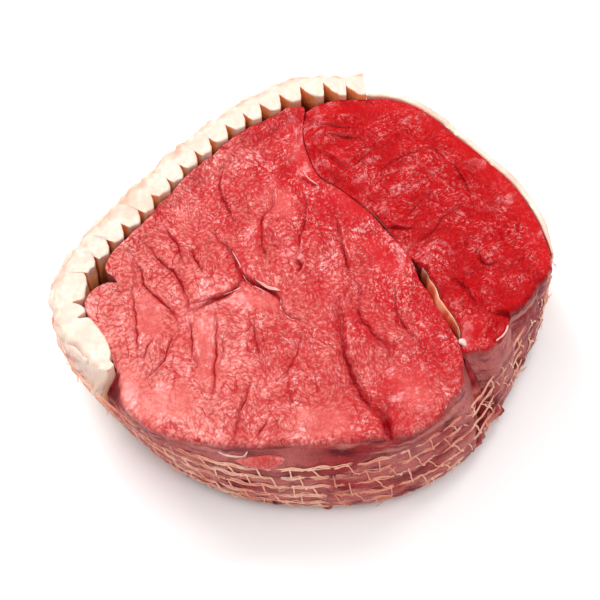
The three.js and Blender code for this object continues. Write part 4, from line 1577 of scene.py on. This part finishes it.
FINGER = [(64, -57, 9), (67.9, -55, 12), (71.5, -51.6, 12), (75, -48.2, 10), (78, -45.4, 9)]
LOBES = [
    ([(47, -71, 6), (54, -68, 8), (60, -63.5, 8)], 4.2),
    ([(57, -65.5, 7), (63, -60.5, 10), (68.5, -54.5, 11)], 4.4),
]
LUMPS_AT_FOOT = [
    (-23.3, -79.5), (-14.4, -82), (30.9, -79), (-67.5, -47.5), (-61, -53), (-72.5, -40.5), (5, -82),
    (-45, -70.5), (44, -72), (60, -58.5),
]
scraps = [rolled(FINGER, [2.0, 2.4, 2.0, 1.6, 2.2], [1.8])]
scraps += [rolled(line, [size, 1.1 * size, 0.9 * size], [size]) for line, size in LOBES]
curl = [(4.5, -80.5, 2), (6.5, -83.5, 1.6), (8.5, -85.2, 1.4), (10.5, -84.2, 1.4)]
scraps.append(rolled(curl, [1.3], [1.1]))
for number, (at_x, at_y) in enumerate(LUMPS_AT_FOOT):
    half = 1.9 + 0.9 * uneven(number, 41)
    line = [(at_x - half, at_y - 0.4, 1.7), (at_x, at_y, 1.9), (at_x + half, at_y + 0.6, 1.7)]
    scraps.append(rolled(line, [0.8 * half, half], [1.5], seed=120 + number))
LEAN_MASKS = {"fold": 4.0, "parted": 0.0, "silver": 0.0, "calm": 1.0}
groove = [(60.6, -46.5, 46), (62, -49.5, 42), (64, -52.5, 37), (66, -55, 31), (66, -55, 24)]
scraps.append(rolled(groove, [1.2, 1.8, 2.2, 2.6], [1.6]))
meat_scraps = strips_piece("meat_scraps", scraps, {**LEAN_MASKS, "wall": 0.9, "tone": 0.0}, lean_red)
torn = rolled(
    [(-26, -88.6, 42.0), (-19, -89.4, 41.6), (-12.5, -89.4, 42.2), (-7.5, -88.8, 43.0)],
    [0.6, 2.4, 2.9, 1.6],
    [1.0],
    lean=(0, -1, 0.75),
    ragged=0.06,
)
torn_flap = strips_piece("torn_flap", [torn], {**LEAN_MASKS, "calm": 0.7, "wall": 0.0, "tone": 0.6}, lean_red)
for part in (meat_scraps, torn_flap):
    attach(part, "root")

# ------------------------------------------------------------------------------ The studio
# A plain pale floor, a soft lamp behind, one in front, one overhead and a small one for the glints,
# and a camera with a long lens that looks down on the joint from the front.

FLOOR = 3.0
FLOOR_WHITE = (0.98, 0.98, 0.98, 1)
WHITE = (1, 1, 1, 1)
floor_mesh = bpy.data.meshes.new("floor")
floor_corners = [(-FLOOR, -FLOOR, 0), (FLOOR, -FLOOR, 0), (FLOOR, FLOOR, 0), (-FLOOR, FLOOR, 0)]
floor_mesh.from_pydata(floor_corners, [], [(0, 1, 2, 3)])
floor = scene_object("floor", floor_mesh)
floor_paint, tree, paint = new_material("floor")
look = {
    "Base Color": FLOOR_WHITE,
    "Roughness": 0.9,
    "Emission Color": WHITE,
    "Emission Strength": 0.015,
}
plug_in(tree, paint, look)
floor_mesh.materials.append(floor_paint)

world = bpy.data.worlds.new("studio")
world.use_nodes = True
plug_in(world.node_tree, world.node_tree.nodes["Background"], {"Color": WHITE, "Strength": 0.36})
bpy.context.scene.world = world


def aimed(thing, place, aim):
    """Puts a lamp or a camera at a place and turns it to look at another."""
    thing.location = place
    thing.rotation_mode = "QUATERNION"
    thing.rotation_quaternion = (Vector(place) - Vector(aim)).to_track_quat("Z", "Y")


LAMP_AIM = (0, 0, 0.03)
LAMPS = {  # its place, its size and its power
    "key": ((-0.55, 0.72, 0.85), (0.8, 0.6), 11),
    "glints": ((0.45, 0.55, 1.3), (0.35, 0.3), 4),
    "front": ((0.25, -0.9, 1.5), (1.4, 1.0), 9),
    "top": ((-0.1, -0.3, 1.7), (2.2, 1.4), 13),
}
for name, (place, size, power) in LAMPS.items():
    lamp = bpy.data.lights.new(name, "AREA")
    lamp.shape = "RECTANGLE"
    lamp.size, lamp.size_y = size
    lamp.energy = power
    aimed(scene_object(name, lamp), place, LAMP_AIM)

lens = bpy.data.cameras.new("camera")
lens.sensor_width = 36
lens.lens = 129.03
lens.clip_start, lens.clip_end = 0.05, 20
camera = scene_object("camera", lens)
CAMERA_PLACE = (-0.0022, -0.49769, 0.72628)
CAMERA_AIM = (-0.0022, -0.01015, 0.030)
aimed(camera, CAMERA_PLACE, CAMERA_AIM)
bpy.context.scene.camera = camera
bpy.context.scene.view_settings.view_transform = "Standard"
bpy.context.scene.view_settings.look = "None"
